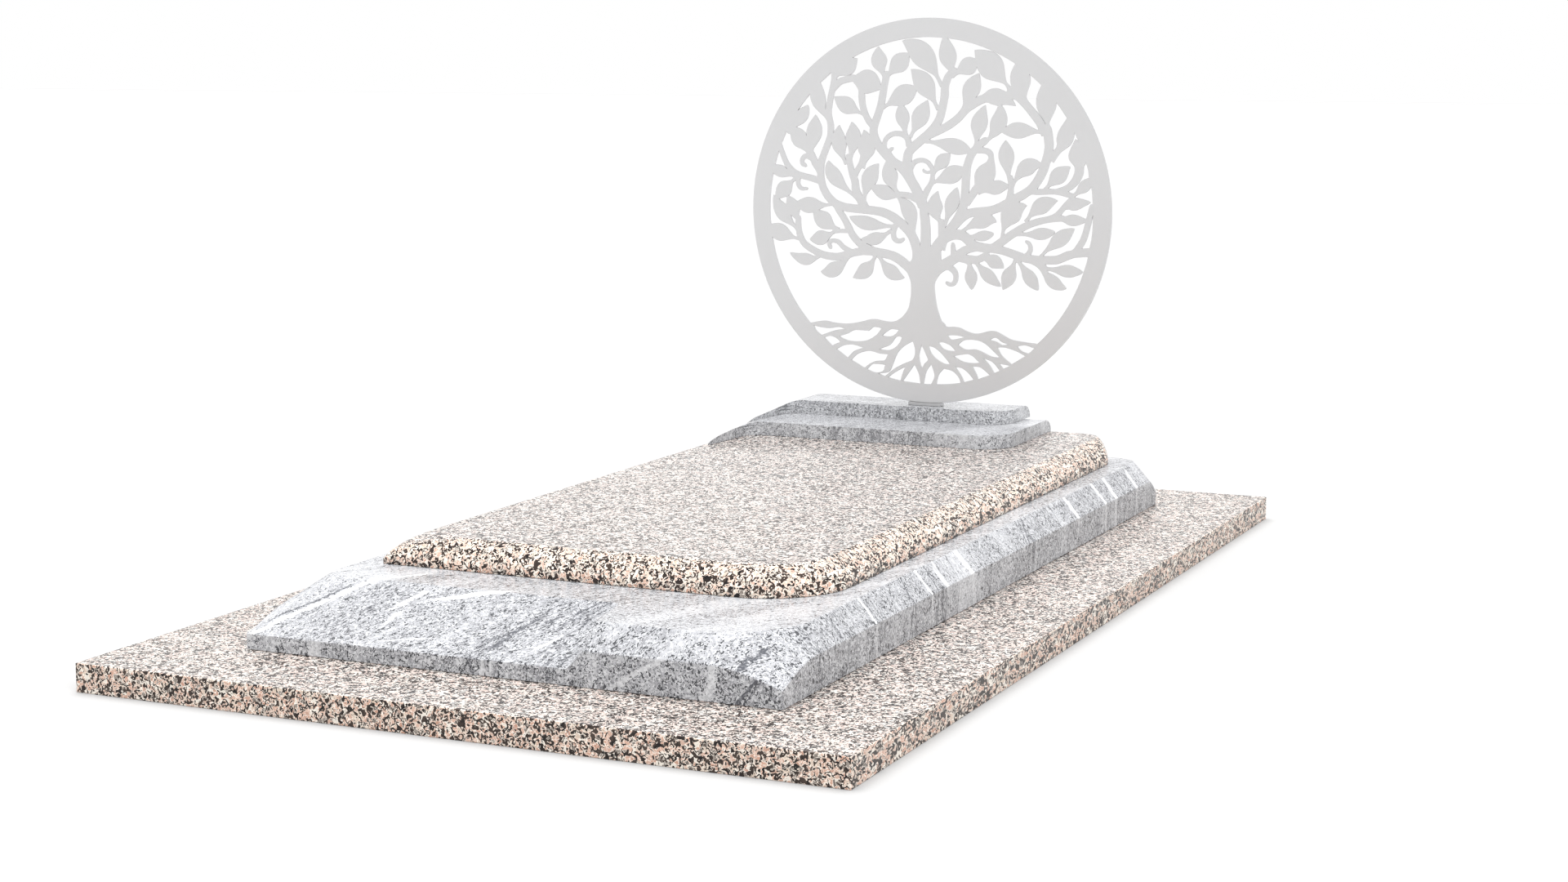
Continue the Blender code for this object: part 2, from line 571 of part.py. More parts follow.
ROOT_GAPS = (
    # openings between the roots, each as its curved sides from corner to corner
    (((-.645, -.620), (-.60, -.629), (-.55, -.632), (-.50, -.623), (-.460, -.633)),
     ((-.460, -.633), (-.52, -.641), (-.600, -.670)), ((-.600, -.670), (-.630, -.647), (-.645, -.620))),
    (((-.582, -.683), (-.545, -.673), (-.51, -.685), (-.488, -.703)),
     ((-.488, -.703), (-.51, -.710), (-.538, -.724)), ((-.538, -.724), (-.582, -.683))),
    (((-.495, -.672), (-.45, -.657), (-.405, -.636), (-.325, -.636)),
     ((-.325, -.636), (-.295, -.614), (-.254, -.619)),
     ((-.254, -.619), (-.285, -.657), (-.34, -.687), (-.41, -.695), (-.46, -.688), (-.495, -.672))),
    (((-.248, -.658), (-.225, -.637), (-.195, -.621), (-.153, -.623)),
     ((-.153, -.623), (-.18, -.650), (-.21, -.660), (-.248, -.658))),
    (((-.265, -.730), (-.235, -.718), (-.205, -.705), (-.19, -.685), (-.165, -.660), (-.137, -.660)),
     ((-.137, -.660), (-.15, -.690), (-.18, -.720), (-.22, -.734), (-.265, -.730))),
    (((-.510, -.742), (-.465, -.719), (-.41, -.714), (-.357, -.727)),
     ((-.357, -.727), (-.41, -.747), (-.447, -.785)), ((-.447, -.785), (-.510, -.742))),
    (((-.425, -.795), (-.385, -.760), (-.32, -.743), (-.26, -.754), (-.217, -.755)),
     ((-.217, -.755), (-.235, -.787), (-.28, -.793), (-.32, -.810), (-.350, -.834)), ((-.350, -.834),
      (-.425, -.795))),
    (((-.333, -.840), (-.30, -.812), (-.232, -.812)),
     ((-.232, -.812), (-.245, -.845), (-.29, -.855), (-.333, -.840))),
    (((-.075, -.680), (-.12, -.705), (-.16, -.745), (-.185, -.800), (-.21, -.848), (-.270, -.860)),
     ((-.270, -.860), (-.232, -.873)),
     ((-.232, -.873), (-.18, -.830), (-.12, -.797), (-.075, -.775), (-.062, -.730), (-.075, -.680))),
    (((-.213, -.878), (-.165, -.843), (-.115, -.818)),
     ((-.115, -.818), (-.132, -.850), (-.143, -.892)), ((-.143, -.892), (-.213, -.878))),
    (((-.065, -.803), (-.095, -.845), (-.130, -.893)), ((-.130, -.893), (-.030, -.901)),
     ((-.030, -.901), (-.040, -.850), (-.065, -.803))),
    (((-.025, -.697), (-.038, -.745), (-.035, -.785), (-.023, -.820)),
     ((-.023, -.820), (-.005, -.790), (.010, -.775), (.000, -.745), (-.025, -.697))),
    (((.030, -.797), (.003, -.835), (-.012, -.902)), ((-.012, -.902), (.030, -.901)),
     ((.030, -.901), (.048, -.855), (.030, -.797))),
    (((.060, -.900), (.072, -.850), (.100, -.817)),
     ((.100, -.817), (.150, -.827), (.185, -.860), (.195, -.885)), ((.195, -.885), (.130, -.895),
      (.060, -.900))),
    (((.165, -.803), (.205, -.810), (.240, -.835), (.266, -.865)), ((.266, -.865), (.213, -.880)),
     ((.213, -.880), (.200, -.850), (.165, -.803))),
    (((.260, -.797), (.305, -.800), (.355, -.836)), ((.355, -.836), (.292, -.860)),
     ((.292, -.860), (.280, -.830), (.260, -.797))),
    (((.320, -.750), (.370, -.768), (.410, -.810)), ((.410, -.810), (.380, -.824)),
     ((.380, -.824), (.355, -.785), (.320, -.750))),
    (((.407, -.773), (.465, -.782)), ((.465, -.782), (.430, -.800)), ((.430, -.800), (.407, -.773))),
    (((.397, -.690), (.440, -.689), (.500, -.705), (.548, -.727)), ((.548, -.727), (.475, -.773)),
     ((.475, -.773), (.425, -.735), (.397, -.690))),
    (((.505, -.680), (.550, -.672), (.598, -.685)), ((.598, -.685), (.567, -.713)),
     ((.567, -.713), (.530, -.702), (.505, -.680))),
    (((.355, -.653), (.380, -.640), (.400, -.645), (.420, -.660), (.455, -.672)),
     ((.455, -.672), (.420, -.675), (.390, -.660), (.355, -.653))),
    (((.120, -.640), (.170, -.637), (.215, -.645)), ((.215, -.645), (.170, -.655), (.140, -.660),
      (.120, -.640))),
    (((.180, -.687), (.210, -.663), (.260, -.656), (.310, -.665), (.350, -.690), (.410, -.742)),
     ((.410, -.742), (.360, -.737), (.310, -.715), (.270, -.705), (.220, -.708), (.180, -.687))),
    (((.070, -.680), (.100, -.678), (.140, -.695), (.165, -.720)),
     ((.165, -.720), (.120, -.718), (.090, -.705), (.070, -.680))),
    (((.015, -.700), (.050, -.710), (.090, -.740), (.135, -.790)),
     ((.135, -.790), (.100, -.788), (.050, -.760), (.025, -.730), (.015, -.700))),
    (((.155, -.747), (.190, -.740), (.230, -.733), (.265, -.745), (.298, -.775)),
     ((.298, -.775), (.250, -.778), (.200, -.770), (.155, -.747))),
)


def border():
    """Ring round the tree."""
    inner = 1 - DISC_BORDER / DISC_RADIUS
    outer_ring = [Vector(p) for p in arc((0, 0), 1.0, 0, 360, RING_STEPS)[:-1]]
    inner_ring = [Vector(p) for p in arc((0, 0), inner, 0, 360, RING_STEPS)[:-1]]
    quads = []
    for i in range(RING_STEPS):
        j = (i + 1) % RING_STEPS
        quads.append([outer_ring[i], outer_ring[j], inner_ring[j], inner_ring[i]])
    return quads


def trunk():
    """Trunk that flares at its foot, as stacked quads."""
    left = smooth_path([(x, z) for z, x, _ in TRUNK], TRUNK_POINTS)
    right = smooth_path([(x, z) for z, _, x in TRUNK], TRUNK_POINTS)
    return ribbon(list(zip(right, left)))


def ground():
    """Ground between its wavy top edge and the ring."""
    reach = 1 - 0.5 * DISC_BORDER / DISC_RADIUS
    top = smooth_path(GROUND, GROUND_POINTS)
    return ribbon([(p, Vector((p.x, -math.sqrt(reach ** 2 - p.x ** 2)))) for p in top])


def root_gap(sides):
    """Clockwise loop along the sides of an opening."""
    loop = []
    for side in sides:
        per_stretch = GAP_POINTS if len(side) > 2 else 1
        loop += smooth_path(side, per_stretch)[:-1]
    return loop if signed_area(loop) < 0 else loop[::-1]


def unite(pieces):
    """Outline loops of the union of overlapping flat pieces, and the points where loops touch."""
    points = []
    faces = []
    for piece in pieces:
        for i in range(1, len(piece) - 1):
            corner = [piece[0], piece[i], piece[i + 1]]
            size = signed_area(corner)
            if abs(size) > LEAST_AREA:
                faces.append([len(points) + k for k in ((0, 1, 2) if size > 0 else (0, 2, 1))])
                points += corner
    verts, _, tris, _, _, owners = delaunay_2d_cdt(points, [], faces, 1, LEAST_AREA)
    edges = {}
    for tri, owner in zip(tris, owners):
        if not owner:
            continue
        for a, b in zip(tri, tri[1:] + tri[:1]):
            if (b, a) in edges:
                del edges[(b, a)]
            else:
                edges[(a, b)] = True
    following = {}
    for a, b in edges:
        following.setdefault(a, []).append(b)
    crossings = [verts[a] for a, ends in following.items() if len(ends) > 1]
    loops = []
    while following:
        start = next(iter(following))
        loop = []
        here = start
        while here in following:
            ends = following[here]
            step_to = ends.pop()
            if not ends:
                del following[here]
            loop.append(verts[here])
            here = step_to
        loops.append(loop)
    return loops, crossings


def signed_area(loop):
    return 0.5 * sum(a.x * b.y - b.x * a.y for a, b in zip(loop, loop[1:] + loop[:1]))


def tidy_loop(loop):
    """Drops points that are nearly doubled or nearly on a straight line."""
    changed = True
    points = list(loop)
    while changed and len(points) > 4:
        changed = False
        kept = []
        n = len(points)
        skip = False
        for i in range(n):
            a, b, c = points[i - 1], points[i], points[(i + 1) % n]
            if skip:
                skip = False
                kept.append(b)
                continue
            chord = c - a
            off = abs(chord.x * (b - a).y - chord.y * (b - a).x) / max(chord.length, LEAST_AREA)
            if off < LOOP_FLATNESS or (c - b).length < LOOP_STEP:
                skip = True
                changed = True
            else:
                kept.append(b)
        points = kept
    return points


def tree_loops():
    """Outline of the tree disc: the outer edge first, then the openings."""
    pieces = border() + trunk() + ground()
    for guides, start_width, end_width in LIMBS:
        pieces += limb(guides, start_width, end_width)
    for root, middle, tip, width in LEAVES:
        pieces += leaf(root, middle, tip, width)
    loops, crossings = unite(pieces)
    rounds = 0
    while crossings and rounds < MOST_ROUNDS:
        pieces += [cap(spot, CROSSING_FILL) for spot in crossings]
        loops, crossings = unite(pieces)
        rounds += 1
    loops = [tidy_loop(loop) for loop in loops]
    loops = [loop for loop in loops if abs(signed_area(loop)) > SMALLEST_HOLE]
    loops += [tidy_loop(root_gap(sides)) for sides in ROOT_GAPS]
    loops.sort(key=signed_area, reverse=True)
    return loops


def tree_disc(finish, middle_y, center_z):
    loops = tree_loops()
    points = []
    faces = []
    for loop in loops:
        faces.append(list(range(len(points), len(points) + len(loop))))
        if signed_area(loop) < 0:
            faces[-1].reverse()
        points += [p * DISC_RADIUS for p in loop]
    verts, _, tris, _, _, owners = delaunay_2d_cdt(points, [], faces, 1, LEAST_AREA)
    tris = [tri for tri, owner in zip(tris, owners) if list(owner) == [0]]
    bm = bmesh.new()
    front = [bm.verts.new((v.x, middle_y - DISC_THICKNESS / 2, center_z + v.y)) for v in verts]
    back = [bm.verts.new((v.x, middle_y + DISC_THICKNESS / 2, center_z + v.y)) for v in verts]
    sides = {}
    for tri in tris:
        bm.faces.new([front[i] for i in tri])
        bm.faces.new([back[i] for i in reversed(tri)])
        for a, b in zip(tri, tri[1:] + tri[:1]):
            if (b, a) in sides:
                del sides[(b, a)]
            else:
                sides[(a, b)] = True
    for a, b in sides:
        bm.faces.new((front[b], front[a], back[a], back[b]))
    bmesh.ops.recalc_face_normals(bm, faces=bm.faces)
    data = bpy.data.meshes.new("tree_disc")
    bm.to_mesh(data)
    bm.free()
    print("tree disc:", len(verts), "outline points,", len(loops), "loops,", len(data.polygons), "faces")
    return add_object("tree_disc", data, finish)


def disc_foot(finish, middle_y, center_z):
    """Low metal block with a hollow top that follows the disc's rim."""
    reach = DISC_RADIUS + TOUCH_GAP
    steps = 8
    top = []
    for i in range(steps + 1):
        x = mix(-FOOT_WIDTH / 2, FOOT_WIDTH / 2, i / steps)
        top.append((x, center_z - math.sqrt(reach ** 2 - x ** 2)))
    bottom = UPPER_TOP + TOUCH_GAP
    outline = [(FOOT_WIDTH / 2, bottom), (-FOOT_WIDTH / 2, bottom)] + top
    bm = bmesh.new()
    rows = []
    for y in (middle_y - FOOT_DEPTH / 2, middle_y + FOOT_DEPTH / 2):
        rows.append([bm.verts.new((x, y, z)) for x, z in outline])
    bm.faces.new(rows[0])
    bm.faces.new(reversed(rows[1]))
    for i in range(len(outline)):
        j = (i + 1) % len(outline)
        bm.faces.new((rows[0][j], rows[0][i], rows[1][i], rows[1][j]))
    bmesh.ops.recalc_face_normals(bm, faces=bm.faces)
    data = bpy.data.meshes.new("disc_foot")
    bm.to_mesh(data)
    bm.free()
    return add_object("disc_foot", data, finish)


def main():
    clear_scene()
    pink = material("pink_granite", (0.62, 0.50, 0.45), 0.25)
    pink_cover = material("pink_granite_cover", (0.66, 0.54, 0.49), 0.20)
    grey = material("grey_granite", (0.56, 0.57, 0.60), 0.28)
    grey_lower = material("grey_granite_lower_step", (0.55, 0.56, 0.59), 0.28)
    grey_upper = material("grey_granite_upper_step", (0.58, 0.59, 0.62), 0.28)
    metal = material("disc_metal", (0.66, 0.66, 0.66), 0.45, 0.6)
    foot_metal = material("foot_metal", (0.55, 0.55, 0.55), 0.45, 0.6)
    ground_slab(pink)
    base_block(grey)
    cover_slab(pink_cover)
    rear = BASE_LENGTH / 2 - BASE_REAR_CHAMFER
    left = -COVER_WIDTH / 2 + COVER_LEFT_RUN + LOWER_LEFT_INSET
    lower_front = rear - LOWER_DEPTH
    step("lower_step", {
        "front": lower_front, "rear": rear, "left": left, "right": LOWER_RIGHT, "radius": LOWER_RADIUS,
        "left_run": LOWER_LEFT_RUN, "hollow": LOWER_HOLLOW, "arm_inset": LOWER_ARM_INSET,
        "arm_length": LOWER_ARM_LENGTH,
    }, COVER_TOP, grey_lower)
    upper_front = lower_front + UPPER_SETBACK
    step("upper_step", {
        "front": upper_front, "rear": rear, "left": left + UPPER_LEFT_INSET,
        "right": LOWER_RIGHT - UPPER_RIGHT_INSET, "radius": UPPER_RADIUS, "left_run": UPPER_LEFT_RUN,
        "hollow": UPPER_HOLLOW, "arm_inset": UPPER_ARM_INSET, "arm_length": UPPER_ARM_LENGTH,
    }, LOWER_TOP, grey_upper)
    disc_y = upper_front + DISC_SETBACK
    center_z = UPPER_TOP + DISC_SEAT + DISC_RADIUS
    disc_foot(foot_metal, disc_y, center_z)
    tree_disc(metal, disc_y, center_z)


main()
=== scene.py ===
import math

import bmesh
import bpy
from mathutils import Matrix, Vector
from mathutils.geometry import delaunay_2d_cdt


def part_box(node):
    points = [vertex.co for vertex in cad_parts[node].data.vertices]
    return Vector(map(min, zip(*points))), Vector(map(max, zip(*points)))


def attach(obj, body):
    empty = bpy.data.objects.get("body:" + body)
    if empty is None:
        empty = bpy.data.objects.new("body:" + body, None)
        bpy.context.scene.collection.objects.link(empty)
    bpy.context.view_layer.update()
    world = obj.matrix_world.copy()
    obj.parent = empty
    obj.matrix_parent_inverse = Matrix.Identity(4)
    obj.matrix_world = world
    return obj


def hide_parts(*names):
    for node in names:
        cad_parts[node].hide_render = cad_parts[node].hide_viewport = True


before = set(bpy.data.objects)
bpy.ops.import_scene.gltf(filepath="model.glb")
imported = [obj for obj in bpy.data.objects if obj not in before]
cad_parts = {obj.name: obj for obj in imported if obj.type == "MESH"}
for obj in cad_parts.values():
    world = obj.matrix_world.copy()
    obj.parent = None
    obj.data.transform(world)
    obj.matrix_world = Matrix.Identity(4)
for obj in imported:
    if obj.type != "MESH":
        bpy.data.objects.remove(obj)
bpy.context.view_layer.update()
bpy.ops.object.select_all(action="DESELECT")
scene = bpy.context.scene
print("frame loaded")


# small helpers for the modelling

helperValues = {"merge": 0.00001, "topFacing": 0.9999}


def pickOnly(piece):
    bpy.ops.object.select_all(action="DESELECT")
    piece.select_set(True)
    bpy.context.view_layer.objects.active = piece


def editAll(piece, selectMode="VERT"):
    pickOnly(piece)
    bpy.ops.object.mode_set(mode="EDIT")
    bpy.ops.mesh.select_mode(type=selectMode)
    bpy.ops.mesh.select_all(action="SELECT")


def leaveEdit():
    bpy.ops.object.mode_set(mode="OBJECT")


def applyPlace(piece):
    pickOnly(piece)
    bpy.ops.object.transform_apply(location=True, rotation=True, scale=True)


def evenShading(piece, degrees, crispTop=False):
    pickOnly(piece)
    bpy.ops.object.shade_smooth_by_angle(angle=math.radians(degrees))
    if crispTop:
        flat = {p.index for p in piece.data.polygons if p.normal.z > helperValues["topFacing"]}
        users = {}
        for p in piece.data.polygons:
            for key in p.edge_keys:
                users.setdefault(key, []).append(p.index in flat)
        for edge in piece.data.edges:
            if len(set(users[edge.key])) == 2:
                edge.use_edge_sharp = True
    bpy.ops.object.modifier_add(type="WEIGHTED_NORMAL")
    piece.modifiers[-1].keep_sharp = True
    bpy.ops.object.modifier_apply(modifier=piece.modifiers[-1].name)


def copyOfNode(node, name):
    piece = bpy.data.objects.new(name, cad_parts[node].data.copy())
    scene.collection.objects.link(piece)
    piece.data.materials.clear()
    editAll(piece)
    bpy.ops.mesh.remove_doubles(threshold=helperValues["merge"])
    leaveEdit()
    return piece


def hand(piece, node, finish):
    piece.data.materials.clear()
    piece.data.materials.append(finish)
    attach(piece, "root")
    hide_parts(node)


# small helpers for the materials

def addNode(tree, kind, values=None, links=None, **settings):
    made = tree.nodes.new(kind)
    for key, value in settings.items():
        setattr(made, key, value)
    for key, value in (values or {}).items():
        made.inputs[key].default_value = value
    for key, socket in (links or {}).items():
        tree.links.new(socket, made.inputs[key])
    return made


def mathNode(tree, operation, a, b=None, c=None, clamp=False):
    made = tree.nodes.new("ShaderNodeMath")
    made.operation = operation
    made.use_clamp = clamp
    for slot, value in enumerate((a, b, c)):
        if value is None:
            continue
        if isinstance(value, (int, float)):
            made.inputs[slot].default_value = value
        else:
            tree.links.new(value, made.inputs[slot])
    return made.outputs[0]


def vectorNode(tree, operation, a, b=None, scale=None):
    made = tree.nodes.new("ShaderNodeVectorMath")
    made.operation = operation
    for slot, value in ((0, a), (1, b), ("Scale", scale)):
        if value is None:
            continue
        if isinstance(value, tuple):
            made.inputs[slot].default_value = value
        else:
            tree.links.new(value, made.inputs[slot])
    return made.outputs[0]


def mixValue(tree, factor, first, second):
    made = tree.nodes.new("ShaderNodeMix")
    for slot, value in ((0, factor), (2, first), (3, second)):
        tree.links.new(value, made.inputs[slot])
    return made.outputs[0]


def mixColor(tree, factor, first, second):
    made = tree.nodes.new("ShaderNodeMix")
    made.data_type = "RGBA"
    for slot, value in ((0, factor), (6, first), (7, second)):
        if isinstance(value, (int, float)):
            made.inputs[slot].default_value = value
        elif isinstance(value, tuple):
            made.inputs[slot].default_value = (*value, 1.0)
        else:
            tree.links.new(value, made.inputs[slot])
    return made.outputs[2]


def rampNode(tree, socket, stops, interpolation="LINEAR"):
    made = tree.nodes.new("ShaderNodeValToRGB")
    tree.links.new(socket, made.inputs["Fac"])
    ramp = made.color_ramp
    ramp.interpolation = interpolation
    while len(ramp.elements) < len(stops):
        ramp.elements.new(0.5)
    for element, (place, color) in zip(ramp.elements, stops):
        element.position = place
        element.color = (*color, 1.0) if isinstance(color, tuple) else (color, color, color, 1.0)
    return made.outputs["Color"]


def newGroup(name, inputs, outputs):
    group = bpy.data.node_groups.new(name, "ShaderNodeTree")
    for label, kind, value in inputs:
        socket = group.interface.new_socket(name=label, in_out="INPUT", socket_type=kind)
        if value is not None:
            socket.default_value = value
    for label, kind in outputs:
        group.interface.new_socket(name=label, in_out="OUTPUT", socket_type=kind)
    return group, group.nodes.new("NodeGroupInput").outputs, group.nodes.new("NodeGroupOutput").inputs


def useGroup(tree, group, values, links):
    made = tree.nodes.new("ShaderNodeGroup")
    made.node_tree = group
    for key, value in values.items():
        made.inputs[key].default_value = value
    for key, socket in links.items():
        tree.links.new(socket, made.inputs[key])
    return made.outputs


def normalOf(tree):
    return tree.nodes.new("ShaderNodeTexCoord").outputs["Normal"]


def axesOf(tree, vector):
    return addNode(tree, "ShaderNodeSeparateXYZ", links={"Vector": vector}).outputs


def upMask(tree, low, high):
    # 0 on faces that stand steeper than low, 1 on those that lie flatter than high
    height = axesOf(tree, normalOf(tree))[2]
    return addNode(tree, "ShaderNodeMapRange", {"From Min": low, "From Max": high},
                   {"Value": height}).outputs[0]


def noiseNode(tree, values, place, output="Fac"):
    return addNode(tree, "ShaderNodeTexNoise", values, {"Vector": place}).outputs[output]


def newMaterial(name):
    made = bpy.data.materials.new(name)
    made.use_nodes = True
    tree = made.node_tree
    place = tree.nodes.new("ShaderNodeTexCoord").outputs["Object"]
    return made, tree, tree.nodes["Principled BSDF"], place


# mineral grains: irregular cells, each with its own random numbers
grainValues = {"warp": {"Scale": 1.25, "Detail": 2.0}}
grains, gIn, gOut = newGroup("mineralGrains", (
    ("Vector", "NodeSocketVector", None),
    ("Grain Size", "NodeSocketFloat", 0.01),
    ("Ragged", "NodeSocketFloat", 0.5),
), (("Pick", "NodeSocketFloat"), ("Shade", "NodeSocketFloat"), ("Seam", "NodeSocketFloat")))
fineness = mathNode(grains, "DIVIDE", 1.0, gIn["Grain Size"])
scaled = vectorNode(grains, "SCALE", gIn["Vector"], scale=fineness)
warp = noiseNode(grains, grainValues["warp"], scaled, "Color")
centred = vectorNode(grains, "SUBTRACT", warp, (0.5, 0.5, 0.5))
push = vectorNode(grains, "SCALE", centred, scale=gIn["Ragged"])
bent = vectorNode(grains, "ADD", scaled, push)
cells = addNode(grains, "ShaderNodeTexVoronoi", {"Scale": 1.0}, {"Vector": bent})
parts = addNode(grains, "ShaderNodeSeparateColor", links={"Color": cells.outputs["Color"]})
borders = addNode(grains, "ShaderNodeTexVoronoi", {"Scale": 1.0}, {"Vector": bent},
                  feature="DISTANCE_TO_EDGE")
grains.links.new(parts.outputs[0], gOut["Pick"])
grains.links.new(parts.outputs[1], gOut["Shade"])
grains.links.new(borders.outputs["Distance"], gOut["Seam"])

# curled marks: short bent bits of dark mica, with the pale quartz that lies round them
markValues = {"curls": {"Detail": 1.0, "Roughness": 0.5}}
marks, mIn, mOut = newGroup("curledMarks", (
    ("Vector", "NodeSocketVector", None),
    ("Mark Size", "NodeSocketFloat", 0.01),
    ("Curl", "NodeSocketFloat", 1.0),
    ("Limit", "NodeSocketFloat", 0.58),
    ("Halo", "NodeSocketFloat", 0.04),
), (("Dark", "NodeSocketFloat"), ("Pale", "NodeSocketFloat")))
fineness = mathNode(marks, "DIVIDE", 1.0, mIn["Mark Size"])
curls = addNode(marks, "ShaderNodeTexNoise", markValues["curls"],
                {"Vector": mIn["Vector"], "Scale": fineness, "Distortion": mIn["Curl"]}).outputs["Fac"]
paleFrom = mathNode(marks, "SUBTRACT", mIn["Limit"], mIn["Halo"])
marks.links.new(mathNode(marks, "GREATER_THAN", curls, mIn["Limit"]), mOut["Dark"])
marks.links.new(mathNode(marks, "GREATER_THAN", curls, paleFrom), mOut["Pale"])

# clouds: slow changes over the stone that gather or thin out a mineral
cloudValues = {"noise": {"Detail": 3.0, "Roughness": 0.55}}
clouds, cIn, cOut = newGroup("stoneClouds", (
    ("Vector", "NodeSocketVector", None),
    ("Cloud Size", "NodeSocketFloat", 0.1),
), (("Cloud", "NodeSocketFloat"),))
fineness = mathNode(clouds, "DIVIDE", 1.0, cIn["Cloud Size"])
cloudNoise = addNode(clouds, "ShaderNodeTexNoise", cloudValues["noise"],
                     {"Vector": cIn["Vector"], "Scale": fineness})
clouds.links.new(cloudNoise.outputs["Fac"], cOut["Cloud"])

# a band of other stone that crosses the grain: full in its middle, soft at its edges and ends
bandValues = {"fall": -1.5, "start": 1.9, "endFade": 40.0, "noEnd": 9.0}
bandGroup, bIn, bOut = newGroup("stoneBand", (
    ("Across", "NodeSocketFloat", 0.0),
    ("Along", "NodeSocketFloat", 0.0),
    ("Place", "NodeSocketFloat", 0.0),
    ("Lean", "NodeSocketFloat", 0.0),
    ("Half Width", "NodeSocketFloat", 0.01),
    ("From", "NodeSocketFloat", -bandValues["noEnd"]),
    ("To", "NodeSocketFloat", bandValues["noEnd"]),
), (("Band", "NodeSocketFloat"),))
leaned = mathNode(bandGroup, "MULTIPLY_ADD", bIn["Along"], bIn["Lean"], bIn["Place"])
away = mathNode(bandGroup, "ABSOLUTE", mathNode(bandGroup, "SUBTRACT", bIn["Across"], leaned))
widths = mathNode(bandGroup, "DIVIDE", away, bIn["Half Width"])
bandMask = mathNode(bandGroup, "MULTIPLY_ADD", widths, bandValues["fall"], bandValues["start"], clamp=True)
for later, sooner in ((bIn["Along"], bIn["From"]), (bIn["To"], bIn["Along"])):
    inside = mathNode(bandGroup, "SUBTRACT", later, sooner)
    kept = mathNode(bandGroup, "MULTIPLY", inside, bandValues["endFade"], clamp=True)
    bandMask = mathNode(bandGroup, "MULTIPLY", bandMask, kept)
bandGroup.links.new(bandMask, bOut["Band"])

# polish: what is left of the saw and of the grains' different hardness in the polished face
polishValues = {
    "haze": {"Scale": 9.0, "Detail": 4.0},
    "hazeShare": 0.5,
    "blend": 0.66,
    "ripple": {"Scale": 60.0, "Detail": 2.0},
    "grainHeight": 0.6,
    "bump": {"Strength": 0.05, "Distance": 0.0006},
    "upright": (0.1, 0.5),
}
polish, pIn, pOut = newGroup("stonePolish", (
    ("Vector", "NodeSocketVector", None),
    ("Pick", "NodeSocketFloat", 0.5),
    ("Smoothest", "NodeSocketFloat", 0.12),
    ("Dullest", "NodeSocketFloat", 0.3),
), (("Roughness", "NodeSocketFloat"), ("Height", "NodeSocketFloat")))
haze = noiseNode(polish, polishValues["haze"], pIn["Vector"])
hazed = mathNode(polish, "MULTIPLY_ADD", haze, polishValues["hazeShare"], pIn["Pick"])
blend = mathNode(polish, "MULTIPLY", hazed, polishValues["blend"])
span = mathNode(polish, "SUBTRACT", pIn["Dullest"], pIn["Smoothest"])
rough = mathNode(polish, "MULTIPLY_ADD", blend, span, pIn["Smoothest"])
ripple = noiseNode(polish, polishValues["ripple"], pIn["Vector"])
height = mathNode(polish, "MULTIPLY_ADD", pIn["Pick"], polishValues["grainHeight"], ripple)
polish.links.new(rough, pOut["Roughness"])
polish.links.new(height, pOut["Height"])


def finishStone(tree, shader, place, color, pick, values):
    finish = useGroup(tree, polish, {"Smoothest": values["smoothest"], "Dullest": values["dullest"]},
                      {"Vector": place, "Pick": pick})
    upright = mathNode(tree, "SUBTRACT", 1.0, upMask(tree, *polishValues["upright"]))
    dulled = mathNode(tree, "MULTIPLY_ADD", upright, values["edgeDull"], finish["Roughness"], clamp=True)
    bump = addNode(tree, "ShaderNodeBump", polishValues["bump"], {"Height": finish["Height"]})
    tree.links.new(color, shader.inputs["Base Color"])
    tree.links.new(dulled, shader.inputs["Roughness"])
    tree.links.new(bump.outputs["Normal"], shader.inputs["Normal"])
    shader.inputs["Specular IOR Level"].default_value = values["specular"]


# pink granite

pinkValues = {
    "feldspar": (
        (0.0, (0.36, 0.192, 0.134)),
        (0.20, (0.43, 0.248, 0.180)),
        (0.42, (0.37, 0.215, 0.156)),
        (0.58, (0.43, 0.335, 0.265)),
        (0.70, (0.54, 0.500, 0.445)),
        (0.82, (0.08, 0.060, 0.050)),
    ),
    "pale": (0.77, 0.71, 0.635),
    "dark": (0.006, 0.005, 0.005),
    "brown": (0.050, 0.035, 0.028),
    # painted reflection: the grey-white laid over the level tops
    "paintedReflection": (0.45, 0.475, 0.495),
    "feldsparSize": 0.0074,
    "ragged": 1.1,
    "mottling": 0.2,
    "seam": 0.045,
    "quartz": 0.75,
    "markSize": 0.0080,
    "markCurl": 1.5,
    "markLimit": 0.567,
    "halo": 0.032,
    "cloudSize": 0.045,
    "cloudMarks": -0.10,
    "top": (0.92, 0.99),
    "topMarks": -0.018,
    # how much painted reflection the slab's top and the cover's top get
    "slabPaintedReflection": 0.34,
    "coverPaintedReflection": 0.42,
    # painted light: sloping faces drawn towards the pale colour
    "tilted": (0.1, 0.5),
    "slopePaintedLight": 0.15,
    "sideFrom": 0.7,
    "sideStretch": 0.55,
    "smoothest": 0.14,
    "dullest": 0.30,
    "edgeDull": 0.10,
    "specular": 0.25,
}


